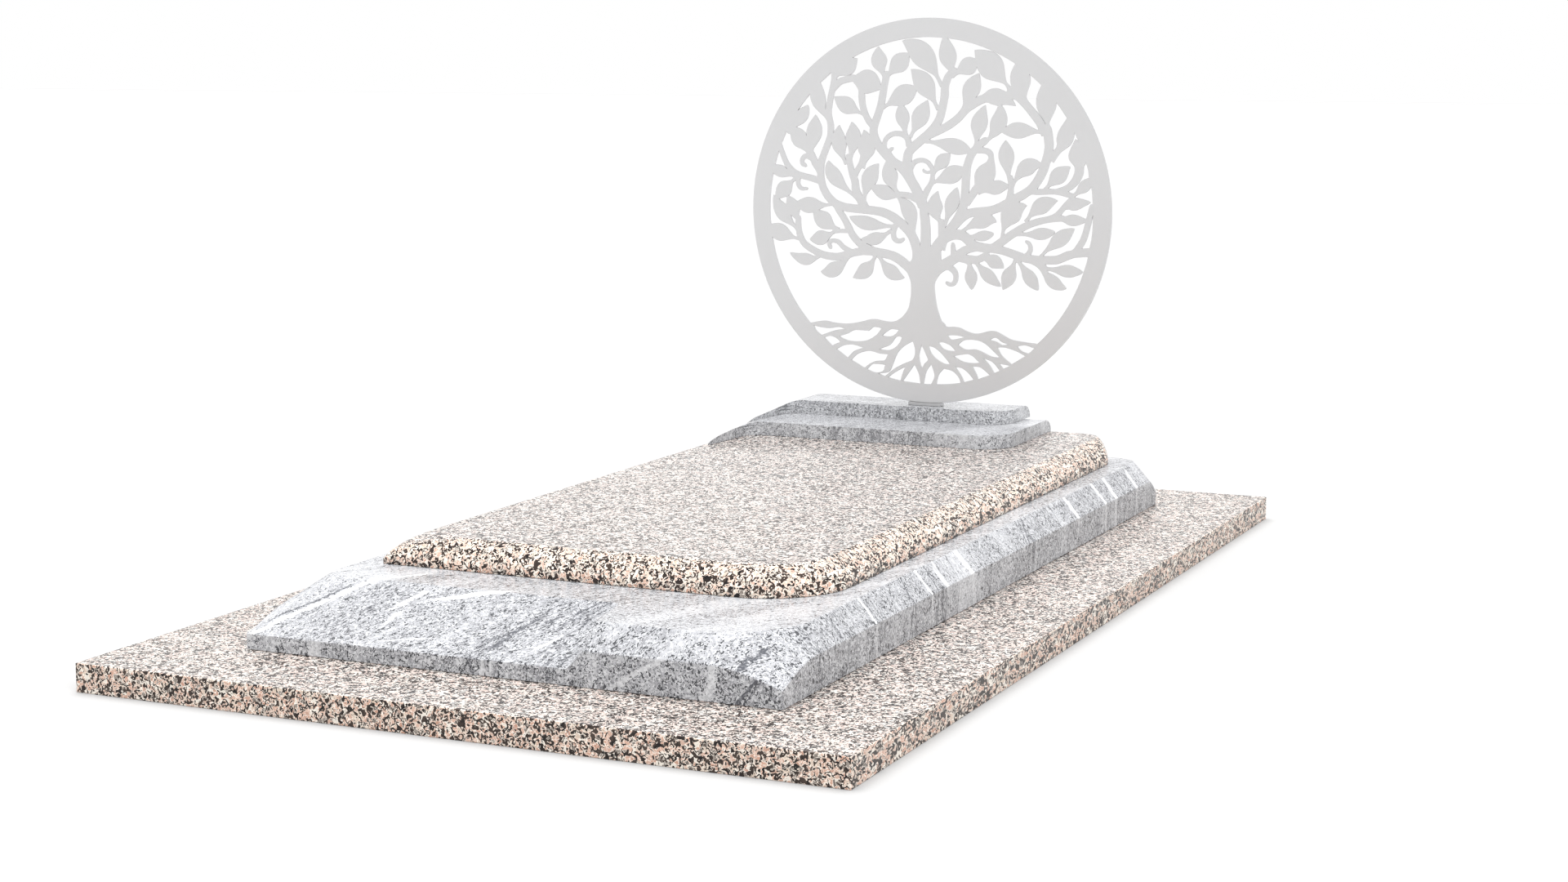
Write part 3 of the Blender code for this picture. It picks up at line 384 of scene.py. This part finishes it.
def pinkGranite(name, topPaintedReflection):
    made, tree, shader, place = newMaterial(name)
    # on the side walls the minerals are drawn out along the wall
    facingX = mathNode(tree, "ABSOLUTE", axesOf(tree, normalOf(tree))[0])
    side = mathNode(tree, "GREATER_THAN", facingX, pinkValues["sideFrom"])
    stretch = mathNode(tree, "MULTIPLY_ADD", side, pinkValues["sideStretch"] - 1.0, 1.0)
    stretches = addNode(tree, "ShaderNodeCombineXYZ", {0: 1.0, 2: 1.0}, {1: stretch}).outputs[0]
    place = vectorNode(tree, "MULTIPLY", place, stretches)

    feldspar = useGroup(tree, grains,
                        {"Grain Size": pinkValues["feldsparSize"], "Ragged": pinkValues["ragged"]},
                        {"Vector": place})
    cloud = useGroup(tree, clouds, {"Cloud Size": pinkValues["cloudSize"]}, {"Vector": place})["Cloud"]
    up = upMask(tree, *pinkValues["top"])
    limit = mathNode(tree, "MULTIPLY_ADD", cloud, pinkValues["cloudMarks"], pinkValues["markLimit"])
    limit = mathNode(tree, "MULTIPLY_ADD", up, pinkValues["topMarks"], limit)
    mica = useGroup(tree, marks,
                    {"Mark Size": pinkValues["markSize"], "Curl": pinkValues["markCurl"],
                     "Halo": pinkValues["halo"]},
                    {"Vector": place, "Limit": limit})

    stone = rampNode(tree, feldspar["Pick"], pinkValues["feldspar"], "CONSTANT")
    mottling = mathNode(tree, "MULTIPLY", feldspar["Shade"], pinkValues["mottling"])
    mottled = mixColor(tree, mottling, stone, pinkValues["pale"])
    seam = mathNode(tree, "LESS_THAN", feldspar["Seam"], pinkValues["seam"])
    quartz = mathNode(tree, "MAXIMUM", seam, mica["Pale"])
    quartz = mathNode(tree, "MULTIPLY", quartz, pinkValues["quartz"])
    paled = mixColor(tree, quartz, mottled, pinkValues["pale"])
    # painted light: sloping faces made paler
    tilted = mathNode(tree, "SUBTRACT", upMask(tree, *pinkValues["tilted"]), up)
    slopePaintedLight = mathNode(tree, "MULTIPLY", tilted, pinkValues["slopePaintedLight"])
    withSlopePaintedLight = mixColor(tree, slopePaintedLight, paled, pinkValues["pale"])
    # painted reflection: the level tops drawn towards a grey-white
    withPaintedReflection = mixColor(tree, mathNode(tree, "MULTIPLY", up, topPaintedReflection), withSlopePaintedLight, pinkValues["paintedReflection"])
    micaTone = mixColor(tree, feldspar["Shade"], pinkValues["dark"], pinkValues["brown"])
    colored = mixColor(tree, mica["Dark"], withPaintedReflection, micaTone)
    finishStone(tree, shader, place, colored, feldspar["Shade"], pinkValues)
    return made


# grey granite, with its flow of darker lines and paler zones

greyValues = {
    "body": (
        (0.0, (0.195, 0.198, 0.212)),
        (0.35, (0.325, 0.329, 0.344)),
        (0.70, (0.460, 0.465, 0.480)),
    ),
    "pale": (0.66, 0.665, 0.682),
    "fleck": (0.012, 0.013, 0.018),
    "band": (0.60, 0.605, 0.615),
    "line": (0.040, 0.043, 0.055),
    # painted shade: the darker grey laid over sloping and upward faces
    "slope": (0.27, 0.274, 0.288),
    # painted light: the paler grey laid over level faces, and over a whole stone by its share
    "flat": (0.46, 0.464, 0.476),
    "bodySize": 0.0036,
    "ragged": 0.9,
    "fleckSize": 0.0049,
    "fleckCurl": 1.5,
    "fleckLimit": 0.560,
    "fleckStretch": (1.0, 0.80, 0.80),
    "halo": 0.030,
    "paleShare": 0.75,
    "sideFrom": 0.3,
    "flowStart": 1.0,
    "flowLean": 0.55,
    "flowScale": (13.0, 2.6, 2.6),
    "patches": {"Scale": 0.7, "Detail": 4.0, "Roughness": 0.55, "Distortion": 0.7},
    "streaks": {"Scale": 1.3, "Detail": 5.0, "Roughness": 0.55, "Distortion": 0.5},
    "streakPlace": (3.7, 1.3, 0.0),
    "paleZone": ((0.53, 0.0), (0.60, 0.6), (0.68, 1.0)),
    "thinLine": ((0.0, 1.0), (0.009, 0.6), (0.022, 0.0)),
    "lineZone": ((0.36, 1.0), (0.50, 0.0)),
    "zoneShare": 0.30,
    "bandShare": 0.85,
    "lineShare": 0.7,
    "zoneClear": 0.55,
    "clearLimit": 0.20,
    "lineLimit": -0.10,
    "sloping": (0.25, 0.60),
    "slopePaintedShade": 0.34,
    "level": (0.985, 0.998),
    "smoothest": 0.14,
    "dullest": 0.30,
    "edgeDull": 0.10,
    "specular": 0.32,
}

# Bands and lines that stand out on the base block's sloping field and front, and on its right side.
# Each row says where one starts across the face, how far it leans per metre along the face, its half
# width, and from where to where it runs. A row without the last two runs over the whole face.
noEnd = bandValues["noEnd"]
drawnValues = {
    "slopeBands": (
        (-0.492, 0.76, 0.007, -0.05, 0.27),
        (-0.287, 0.37, 0.004, 0.04, 0.11),
        (-0.544, 2.40, 0.017, 0.13, 0.20),
        (-0.321, 4.30, 0.012, 0.01, 0.045),
        (-0.330, 0.55, 0.004, 0.09, 0.17),
        (0.020, 0.50, 0.004, 0.02, 0.09),
    ),
    "slopeLines": (
        (-0.514, 0.81, 0.0030, 0.02, 0.17),
        (-0.052, 0.45, 0.0050, 0.01, 0.14),
        (-0.158, 0.95, 0.0022, 0.14, 0.19),
        (-0.049, 0.80, 0.0030, 0.12, 0.23),
        (-0.020, 0.70, 0.0020, 0.08, 0.20),
        (0.425, 0.29, 0.0040, -0.05, 0.11),
    ),
    "frontBands": (
        (-0.360, 0.0, 0.013),
        (-0.038, 0.1, 0.0045),
        (-0.022, 0.1, 0.003),
        (0.192, 1.6, 0.008),
        (0.368, 0.2, 0.007),
        (-0.497, 0.0, 0.008),
    ),
    "frontLines": (
        (0.420, 0.8, 0.0035),
        (0.433, 0.7, 0.0018),
    ),
    "sideBands": (
        (-0.364, 0.0, 0.004),
        (-0.289, 0.05, 0.009),
        (-0.160, -0.1, 0.009),
        (0.163, 0.1, 0.005, -noEnd, 0.0),
        (0.193, 0.1, 0.006, -noEnd, 0.0),
        (0.455, 0.0, 0.008, -0.03, noEnd),
        (0.637, 0.0, 0.006),
        (0.710, 0.1, 0.008),
        (0.858, 0.1, 0.007),
        (-0.620, 0.0, 0.004),
        (0.385, 0.9, 0.005, -noEnd, 0.0),
    ),
    "sideLines": (
        (0.150, 0.6, 0.0025, -0.02, noEnd),
        (0.138, 0.5, 0.0015, -0.02, noEnd),
        (-0.455, 0.3, 0.0018),
        (0.577, 0.0, 0.0020, -noEnd, 0.01),
        (0.590, 0.0, 0.0012, -noEnd, 0.01),
        (0.345, 0.2, 0.0015),
        (-0.335, 0.2, 0.0015),
        (0.772, 0.1, 0.0015),
        (-0.230, 0.2, 0.0013),
    ),
    "wobble": {"Scale": 16.0, "Detail": 5.0, "Roughness": 0.65},
    "ragged": {"Scale": 90.0, "Detail": 3.0, "Roughness": 0.7},
    "wobbleShift": 0.040,
    "raggedShift": 0.026,
    "shiftBack": -0.033,
    "slopeShift": 1.0,
    "frontShift": 0.4,
    "sideShift": 0.35,
    "foot": 0.05,
    "wallTop": 0.11,
    "frontWall": 1.0,
    "sideWall": 0.5,
    "frontPart": -0.6,
    "sloping": (0.2, 0.4),
    "wallBand": 0.50,
}


def bandsOf(tree, across, along, table):
    total = None
    for row in table:
        values = dict(zip(("Place", "Lean", "Half Width", "From", "To"), row))
        band = useGroup(tree, bandGroup, values, {"Across": across, "Along": along})["Band"]
        total = band if total is None else mathNode(tree, "MAXIMUM", total, band)
    return total


def drawnBands(tree, place, flow, toSide, values):
    # masks of all bands and of all lines, each kept to its own face
    axes = axesOf(tree, place)
    ragged = mathNode(tree, "MULTIPLY_ADD", noiseNode(tree, values["ragged"], flow),
                      values["raggedShift"], values["shiftBack"])
    shift = mathNode(tree, "MULTIPLY_ADD", noiseNode(tree, values["wobble"], place),
                     values["wobbleShift"], ragged)
    fromFront = mathNode(tree, "ADD", axes[1], values["frontWall"])
    fromFoot = mathNode(tree, "SUBTRACT", axes[2], values["foot"])
    aboveWall = mathNode(tree, "SUBTRACT", axes[2], values["wallTop"])
    outside = mathNode(tree, "SUBTRACT", axes[0], values["sideWall"])
    upSide = mathNode(tree, "SUBTRACT", aboveWall, outside)

    sloping = upMask(tree, *values["sloping"])
    toFront = mathNode(tree, "SUBTRACT", 1.0, toSide)
    inFront = mathNode(tree, "LESS_THAN", axes[1], values["frontPart"])
    onFront = mathNode(tree, "MULTIPLY", toFront, inFront)
    onSlope = mathNode(tree, "MULTIPLY", onFront, sloping)
    onWall = mathNode(tree, "SUBTRACT", onFront, onSlope)
    onSide = mathNode(tree, "MULTIPLY", toSide, mathNode(tree, "GREATER_THAN", axes[0], 0.0))

    found = {"Bands": None, "Lines": None}
    for face, mask, across, along in (("slope", onSlope, axes[0], fromFront),
                                      ("front", onWall, axes[0], fromFoot),
                                      ("side", onSide, axes[1], upSide)):
        wavy = mathNode(tree, "MULTIPLY_ADD", shift, values[face + "Shift"], across)
        for kind, before in found.items():
            drawn = mathNode(tree, "MULTIPLY", bandsOf(tree, wavy, along, values[face + kind]), mask)
            found[kind] = drawn if before is None else mathNode(tree, "MAXIMUM", before, drawn)
    strength = addNode(tree, "ShaderNodeMapRange", {"To Min": values["wallBand"], "To Max": 1.0},
                       {"Value": sloping}).outputs[0]
    return mathNode(tree, "MULTIPLY", found["Bands"], strength), found["Lines"]


def greyGranite(name, paintedLightShare, levelPaintedLight, drawn=None):
    made, tree, shader, place = newMaterial(name)
    # the flow leans across the tops and the front, and runs straight up the side walls
    axes = axesOf(tree, place)
    facing = axesOf(tree, normalOf(tree))
    facingX = mathNode(tree, "ABSOLUTE", facing[0])
    toSide = mathNode(tree, "GREATER_THAN", facingX, mathNode(tree, "ABSOLUTE", facing[1]))
    steep = mathNode(tree, "GREATER_THAN", facingX, greyValues["sideFrom"])
    toSide = mathNode(tree, "MULTIPLY", toSide, steep)
    fromFront = mathNode(tree, "ADD", axes[1], greyValues["flowStart"])
    leaned = mathNode(tree, "MULTIPLY_ADD", fromFront, -greyValues["flowLean"], axes[0])
    acrossFlow = mixValue(tree, toSide, leaned, axes[1])
    alongFlow = mixValue(tree, toSide, axes[1], axes[0])
    flow = addNode(tree, "ShaderNodeCombineXYZ", links={0: acrossFlow, 1: alongFlow, 2: axes[2]}).outputs[0]

    stretched = vectorNode(tree, "MULTIPLY", flow, greyValues["flowScale"])
    patches = noiseNode(tree, greyValues["patches"], stretched)
    elsewhere = vectorNode(tree, "ADD", stretched, greyValues["streakPlace"])
    streaks = noiseNode(tree, greyValues["streaks"], elsewhere)
    paleZone = rampNode(tree, patches, greyValues["paleZone"])
    ridge = mathNode(tree, "ABSOLUTE", mathNode(tree, "SUBTRACT", streaks, 0.5))
    thinLine = rampNode(tree, ridge, greyValues["thinLine"])
    line = mathNode(tree, "MULTIPLY", thinLine, rampNode(tree, patches, greyValues["lineZone"]))
    clear = mathNode(tree, "MULTIPLY", paleZone, greyValues["zoneClear"])
    if drawn:
        band, drawnLine = drawnBands(tree, place, flow, toSide, drawn)
        line = mathNode(tree, "MAXIMUM", line, drawnLine)
        clear = mathNode(tree, "MAXIMUM", clear, band)

    # fewer flecks where the stone is pale, more along the lines
    body = useGroup(tree, grains,
                    {"Grain Size": greyValues["bodySize"], "Ragged": greyValues["ragged"]},
                    {"Vector": place})
    limit = mathNode(tree, "MULTIPLY_ADD", clear, greyValues["clearLimit"], greyValues["fleckLimit"])
    limit = mathNode(tree, "MULTIPLY_ADD", line, greyValues["lineLimit"], limit)
    fleckPlace = vectorNode(tree, "MULTIPLY", flow, greyValues["fleckStretch"])
    mica = useGroup(tree, marks,
                    {"Mark Size": greyValues["fleckSize"], "Curl": greyValues["fleckCurl"],
                     "Halo": greyValues["halo"]},
                    {"Vector": fleckPlace, "Limit": limit})

    color = rampNode(tree, body["Pick"], greyValues["body"], "CONSTANT")
    # pale halos and pale zones, then painted shade on sloping and upward faces and painted light on level
    # faces
    for mask, share, layer in ((mica["Pale"], greyValues["paleShare"], greyValues["pale"]),
                               (paleZone, greyValues["zoneShare"], greyValues["pale"]),
                               (upMask(tree, *greyValues["sloping"]), greyValues["slopePaintedShade"],
                                greyValues["slope"]),
                               (upMask(tree, *greyValues["level"]), levelPaintedLight, greyValues["flat"])):
        color = mixColor(tree, mathNode(tree, "MULTIPLY", mask, share), color, layer)
    if drawn:
        color = mixColor(tree, mathNode(tree, "MULTIPLY", band, greyValues["bandShare"]), color,
                         greyValues["band"])
    color = mixColor(tree, mica["Dark"], color, greyValues["fleck"])
    color = mixColor(tree, mathNode(tree, "MULTIPLY", line, greyValues["lineShare"]), color,
                     greyValues["line"])
    # painted light: the whole stone drawn towards the paler grey by its share
    color = mixColor(tree, paintedLightShare, color, greyValues["flat"])
    finishStone(tree, shader, place, color, body["Shade"], greyValues)
    return made


# satin sheet metal and the plain block under it

metalValues = {
    "discTone": (0.71, 0.71, 0.715),
    "discDull": 0.42,
    "footTone": (0.60, 0.60, 0.605),
    "footDull": 0.40,
    "cloudSize": 0.18,
    "toneSpan": 0.03,
    "grain": {"Scale": 420.0, "Detail": 2.0},
    "dullSpan": 0.06,
    "bump": {"Strength": 0.06, "Distance": 0.0002},
}


def sheetMetal(name, color, roughness):
    made, tree, shader, place = newMaterial(name)
    cloud = useGroup(tree, clouds, {"Cloud Size": metalValues["cloudSize"]}, {"Vector": place})["Cloud"]
    grain = noiseNode(tree, metalValues["grain"], place)
    darker = tuple((1.0 - metalValues["toneSpan"]) * part for part in color)
    lighter = tuple((1.0 + metalValues["toneSpan"]) * part for part in color)
    dull = mathNode(tree, "MULTIPLY_ADD", grain, 2.0 * metalValues["dullSpan"],
                    roughness - metalValues["dullSpan"])
    bump = addNode(tree, "ShaderNodeBump", metalValues["bump"], {"Height": grain})
    tree.links.new(mixColor(tree, cloud, darker, lighter), shader.inputs["Base Color"])
    tree.links.new(dull, shader.inputs["Roughness"])
    tree.links.new(bump.outputs["Normal"], shader.inputs["Normal"])
    shader.inputs["Metallic"].default_value = 1.0
    return made


# the slab and the cover differ only in the painted reflection on their tops
pinkSlab = pinkGranite("pinkGraniteSlab", pinkValues["slabPaintedReflection"])
pinkCover = pinkGranite("pinkGraniteCover", pinkValues["coverPaintedReflection"])
# painted light: how far each grey stone, and the base's level faces, are made paler
paintedLightValues = {"base": 0.09, "baseLevelPaintedLight": 0.15, "lowerStep": 0.27, "upperStep": 0.25}
greyBase = greyGranite("greyGraniteBase", paintedLightValues["base"], paintedLightValues["baseLevelPaintedLight"], drawnValues)
greyLower = greyGranite("greyGraniteLower", paintedLightValues["lowerStep"], 0.0)
greyUpper = greyGranite("greyGraniteUpper", paintedLightValues["upperStep"], 0.0)
discMetal = sheetMetal("discMetal", metalValues["discTone"], metalValues["discDull"])
footMetal = sheetMetal("footMetal", metalValues["footTone"], metalValues["footDull"])
print("materials made")


# ground slab

slabValues = {"arris": 0.0016, "segments": 3, "smooth": 40}
low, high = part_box("ground_slab")
bpy.ops.mesh.primitive_cube_add(size=1.0, location=(low + high) / 2, scale=high - low)
groundSlab = bpy.context.object
groundSlab.name = "groundSlab"
applyPlace(groundSlab)
editAll(groundSlab, "EDGE")
bpy.ops.mesh.bevel(offset=slabValues["arris"], segments=slabValues["segments"], affect="EDGES")
leaveEdit()
evenShading(groundSlab, slabValues["smooth"])
hand(groundSlab, "ground_slab", pinkSlab)
print("ground slab made")


# dressed stones: a copy of the solid, its flat faces joined, gets its arrises

dressValues = {"flat": 0.2, "segments": 2}


def dressedStone(node, name, values):
    piece = copyOfNode(node, name)
    editAll(piece, "EDGE")
    bpy.ops.mesh.dissolve_limited(angle_limit=math.radians(dressValues["flat"]))
    bpy.ops.mesh.select_all(action="DESELECT")
    bpy.ops.mesh.edges_select_sharp(sharpness=math.radians(values["sharp"]))
    bpy.ops.mesh.bevel(offset=values["arris"], segments=dressValues["segments"], affect="EDGES",
                       clamp_overlap=True)
    leaveEdit()
    evenShading(piece, values["smooth"], crispTop=True)
    return piece


baseValues = {"arris": 0.0012, "sharp": 24, "smooth": 35}
baseBlock = dressedStone("base_block", "baseBlock", baseValues)
hand(baseBlock, "base_block", greyBase)

coverValues = {"arris": 0.0010, "sharp": 45, "smooth": 35}
coverSlab = dressedStone("cover_slab", "coverSlab", coverValues)
hand(coverSlab, "cover_slab", pinkCover)

stepValues = {"arris": 0.0012, "sharp": 40, "smooth": 35}
lowerStep = dressedStone("lower_step", "lowerStep", stepValues)
hand(lowerStep, "lower_step", greyLower)
upperStep = dressedStone("upper_step", "upperStep", stepValues)
hand(upperStep, "upper_step", greyUpper)
print("stones made")


# metal foot and tree disc

footValues = {"arris": 0.0006, "sharp": 40, "smooth": 30}
discFoot = dressedStone("disc_foot", "discFoot", footValues)
hand(discFoot, "disc_foot", footMetal)

discValues = {
    "edge": 0.0005,
    "cornerTurn": 40,
    "finest": 0.0022,
    "mostSteps": 8,
    "folded": 0.2,
    "leastShare": 0.6,
    "merge": 0.000005,
    "smooth": 35,
}


def outlineLoops(node):
    # closed outlines of the sheet's front face, as (x, z) points
    solid = bmesh.new()
    solid.from_mesh(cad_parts[node].data)
    bmesh.ops.remove_doubles(solid, verts=solid.verts, dist=helperValues["merge"])
    solid.normal_update()
    following = {}
    for edge in solid.edges:
        front = [f for f in edge.link_faces if f.normal.y < -0.9]
        if len(front) != 1:
            continue
        for loop in front[0].loops:
            if loop.edge == edge:
                following[loop.vert.index] = loop.link_loop_next.vert.index
    places = {v.index: Vector((v.co.x, v.co.z)) for v in solid.verts}
    solid.free()
    loops = []
    while following:
        here, ahead = next(iter(following.items()))
        loop = []
        while here in following:
            loop.append(places[here])
            here = following.pop(here)
        loops.append(loop)
    return loops


def turnAngle(before, here, after):
    return math.degrees((here - before).angle(after - here, 0.0))


def smoothLoop(loop):
    # a curve through the points of a loop that keeps its sharp corners
    count = len(loop)
    turns = [turnAngle(loop[i - 1], loop[i], loop[(i + 1) % count]) for i in range(count)]
    sharp = [turn > discValues["cornerTurn"] for turn in turns]
    smooth = []
    for i in range(count):
        start, end, after = loop[i], loop[(i + 1) % count], loop[(i + 2) % count]
        straight = end - start
        span = straight.length
        steps = max(1, min(discValues["mostSteps"], math.ceil(span / discValues["finest"])))
        leaving = straight if sharp[i] else (end - loop[i - 1]).normalized() * span
        arriving = straight if sharp[(i + 1) % count] else (after - start).normalized() * span
        for k in range(steps):
            t = k / steps
            smooth.append(start * (2 * t ** 3 - 3 * t ** 2 + 1) + leaving * (t ** 3 - 2 * t ** 2 + t)
                          + end * (3 * t ** 2 - 2 * t ** 3) + arriving * (t ** 3 - t ** 2))
    return smooth


def shrunk(loop, distance):
    # the loop moved towards the metal, which lies on its left
    moved = []
    for i, here in enumerate(loop):
        inward = (here - loop[i - 1]).normalized()
        outward = (loop[(i + 1) % len(loop)] - here).normalized()
        across = Vector((-(inward + outward).y, (inward + outward).x))
        if across.length < discValues["folded"]:
            moved.append(here)
            continue
        across.normalize()
        share = max(discValues["leastShare"], across.dot(Vector((-outward.y, outward.x))))
        moved.append(here + across * distance / share)
    return moved


def loopArea(loop):
    return 0.5 * sum(a.x * b.y - b.x * a.y for a, b in zip(loop, loop[1:] + loop[:1]))


def plateFromLoops(name, loops, front, back, edge):
    # front and back faces fill the shrunk outlines, and three rows of faces join them round each outline
    faceLoops = [shrunk(loop, edge) for loop in loops]
    order = sorted(range(len(loops)), key=lambda i: -abs(loopArea(loops[i])))
    points = []
    outlines = []
    for i in order:
        around = faceLoops[i] if loopArea(loops[i]) > 0 else faceLoops[i][::-1]
        outlines.append(list(range(len(points), len(points) + len(around))))
        points += around
    places, _, triangles, _, _, owners = delaunay_2d_cdt(points, [], outlines, 1, 1e-8)
    plate = bmesh.new()
    near = [plate.verts.new((p.x, front, p.y)) for p in places]
    far = [plate.verts.new((p.x, back, p.y)) for p in places]
    for triangle, owner in zip(triangles, owners):
        if list(owner) == [0]:
            plate.faces.new([near[i] for i in triangle])
            plate.faces.new([far[i] for i in reversed(triangle)])
    for loop, inset in zip(loops, faceLoops):
        rows = []
        for ring, y in ((inset, front), (loop, front + edge), (loop, back - edge), (inset, back)):
            rows.append([plate.verts.new((p.x, y, p.y)) for p in ring])
        for upper, lower in zip(rows, rows[1:]):
            for i in range(len(loop)):
                j = (i + 1) % len(loop)
                plate.faces.new((upper[i], lower[i], lower[j], upper[j]))
    mesh = bpy.data.meshes.new(name)
    plate.to_mesh(mesh)
    plate.free()
    piece = bpy.data.objects.new(name, mesh)
    scene.collection.objects.link(piece)
    return piece


low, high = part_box("tree_disc")
treeDisc = plateFromLoops("treeDisc", [smoothLoop(loop) for loop in outlineLoops("tree_disc")],
                          low.y, high.y, discValues["edge"])
editAll(treeDisc)
bpy.ops.mesh.remove_doubles(threshold=discValues["merge"])
bpy.ops.mesh.normals_make_consistent(inside=False)
leaveEdit()
evenShading(treeDisc, discValues["smooth"])
hand(treeDisc, "tree_disc", discMetal)
print("tree disc made:", len(treeDisc.data.polygons), "faces")


# floor, light and camera

floorValues = {"size": 80.0, "color": (0.386, 0.386, 0.386), "roughness": 0.9, "specular": 0.1}
bpy.ops.mesh.primitive_plane_add(size=floorValues["size"], location=(0.0, 0.0, 0.0))
floor = bpy.context.object
floor.name = "floor"
floorPaint, _, floorShader, _ = newMaterial("floorPaint")
floorShader.inputs["Base Color"].default_value = (*floorValues["color"], 1.0)
floorShader.inputs["Roughness"].default_value = floorValues["roughness"]
floorShader.inputs["Specular IOR Level"].default_value = floorValues["specular"]
floor.data.materials.append(floorPaint)

# each lamp: name, strength, angle that it is seen under, turn
lightValues = {
    "sky": 1.0,
    "lamps": (
        ("softKey", 4.1, 50, (-9, -9, 0)),
        ("softFill", 2.6, 60, (55, 0, 45)),
    ),
    "height": 6.0,
}
world = bpy.data.worlds.new("studio")
world.use_nodes = True
world.node_tree.nodes["Background"].inputs["Color"].default_value = (1.0, 1.0, 1.0, 1.0)
world.node_tree.nodes["Background"].inputs["Strength"].default_value = lightValues["sky"]
scene.world = world
for lampName, strength, softness, turn in lightValues["lamps"]:
    bpy.ops.object.light_add(type="SUN", location=(0.0, 0.0, lightValues["height"]),
                             rotation=[math.radians(angle) for angle in turn])
    lamp = bpy.context.object
    lamp.name = lampName
    lamp.data.energy = strength
    lamp.data.angle = math.radians(softness)
    lamp.visible_glossy = False  # no glare on the flat tops, whatever side they are seen from

# the camera that was fitted to the photograph
cameraValues = {
    "lens": 60.53,
    "sensor": 36.0,
    "place": (2.1411, -4.5999, 1.0747),
    "pitch": -8.678,
    "yaw": 24.477,
    "farthest": 200.0,
}
cameraTurn = (math.radians(90 + cameraValues["pitch"]), 0.0, math.radians(cameraValues["yaw"]))
bpy.ops.object.camera_add(location=cameraValues["place"], rotation=cameraTurn)
camera = bpy.context.object
camera.name = "photoCamera"
camera.data.lens = cameraValues["lens"]
camera.data.sensor_width = cameraValues["sensor"]
camera.data.clip_end = cameraValues["farthest"]
scene.camera = camera
scene.view_settings.view_transform = "Standard"
print("stage set")
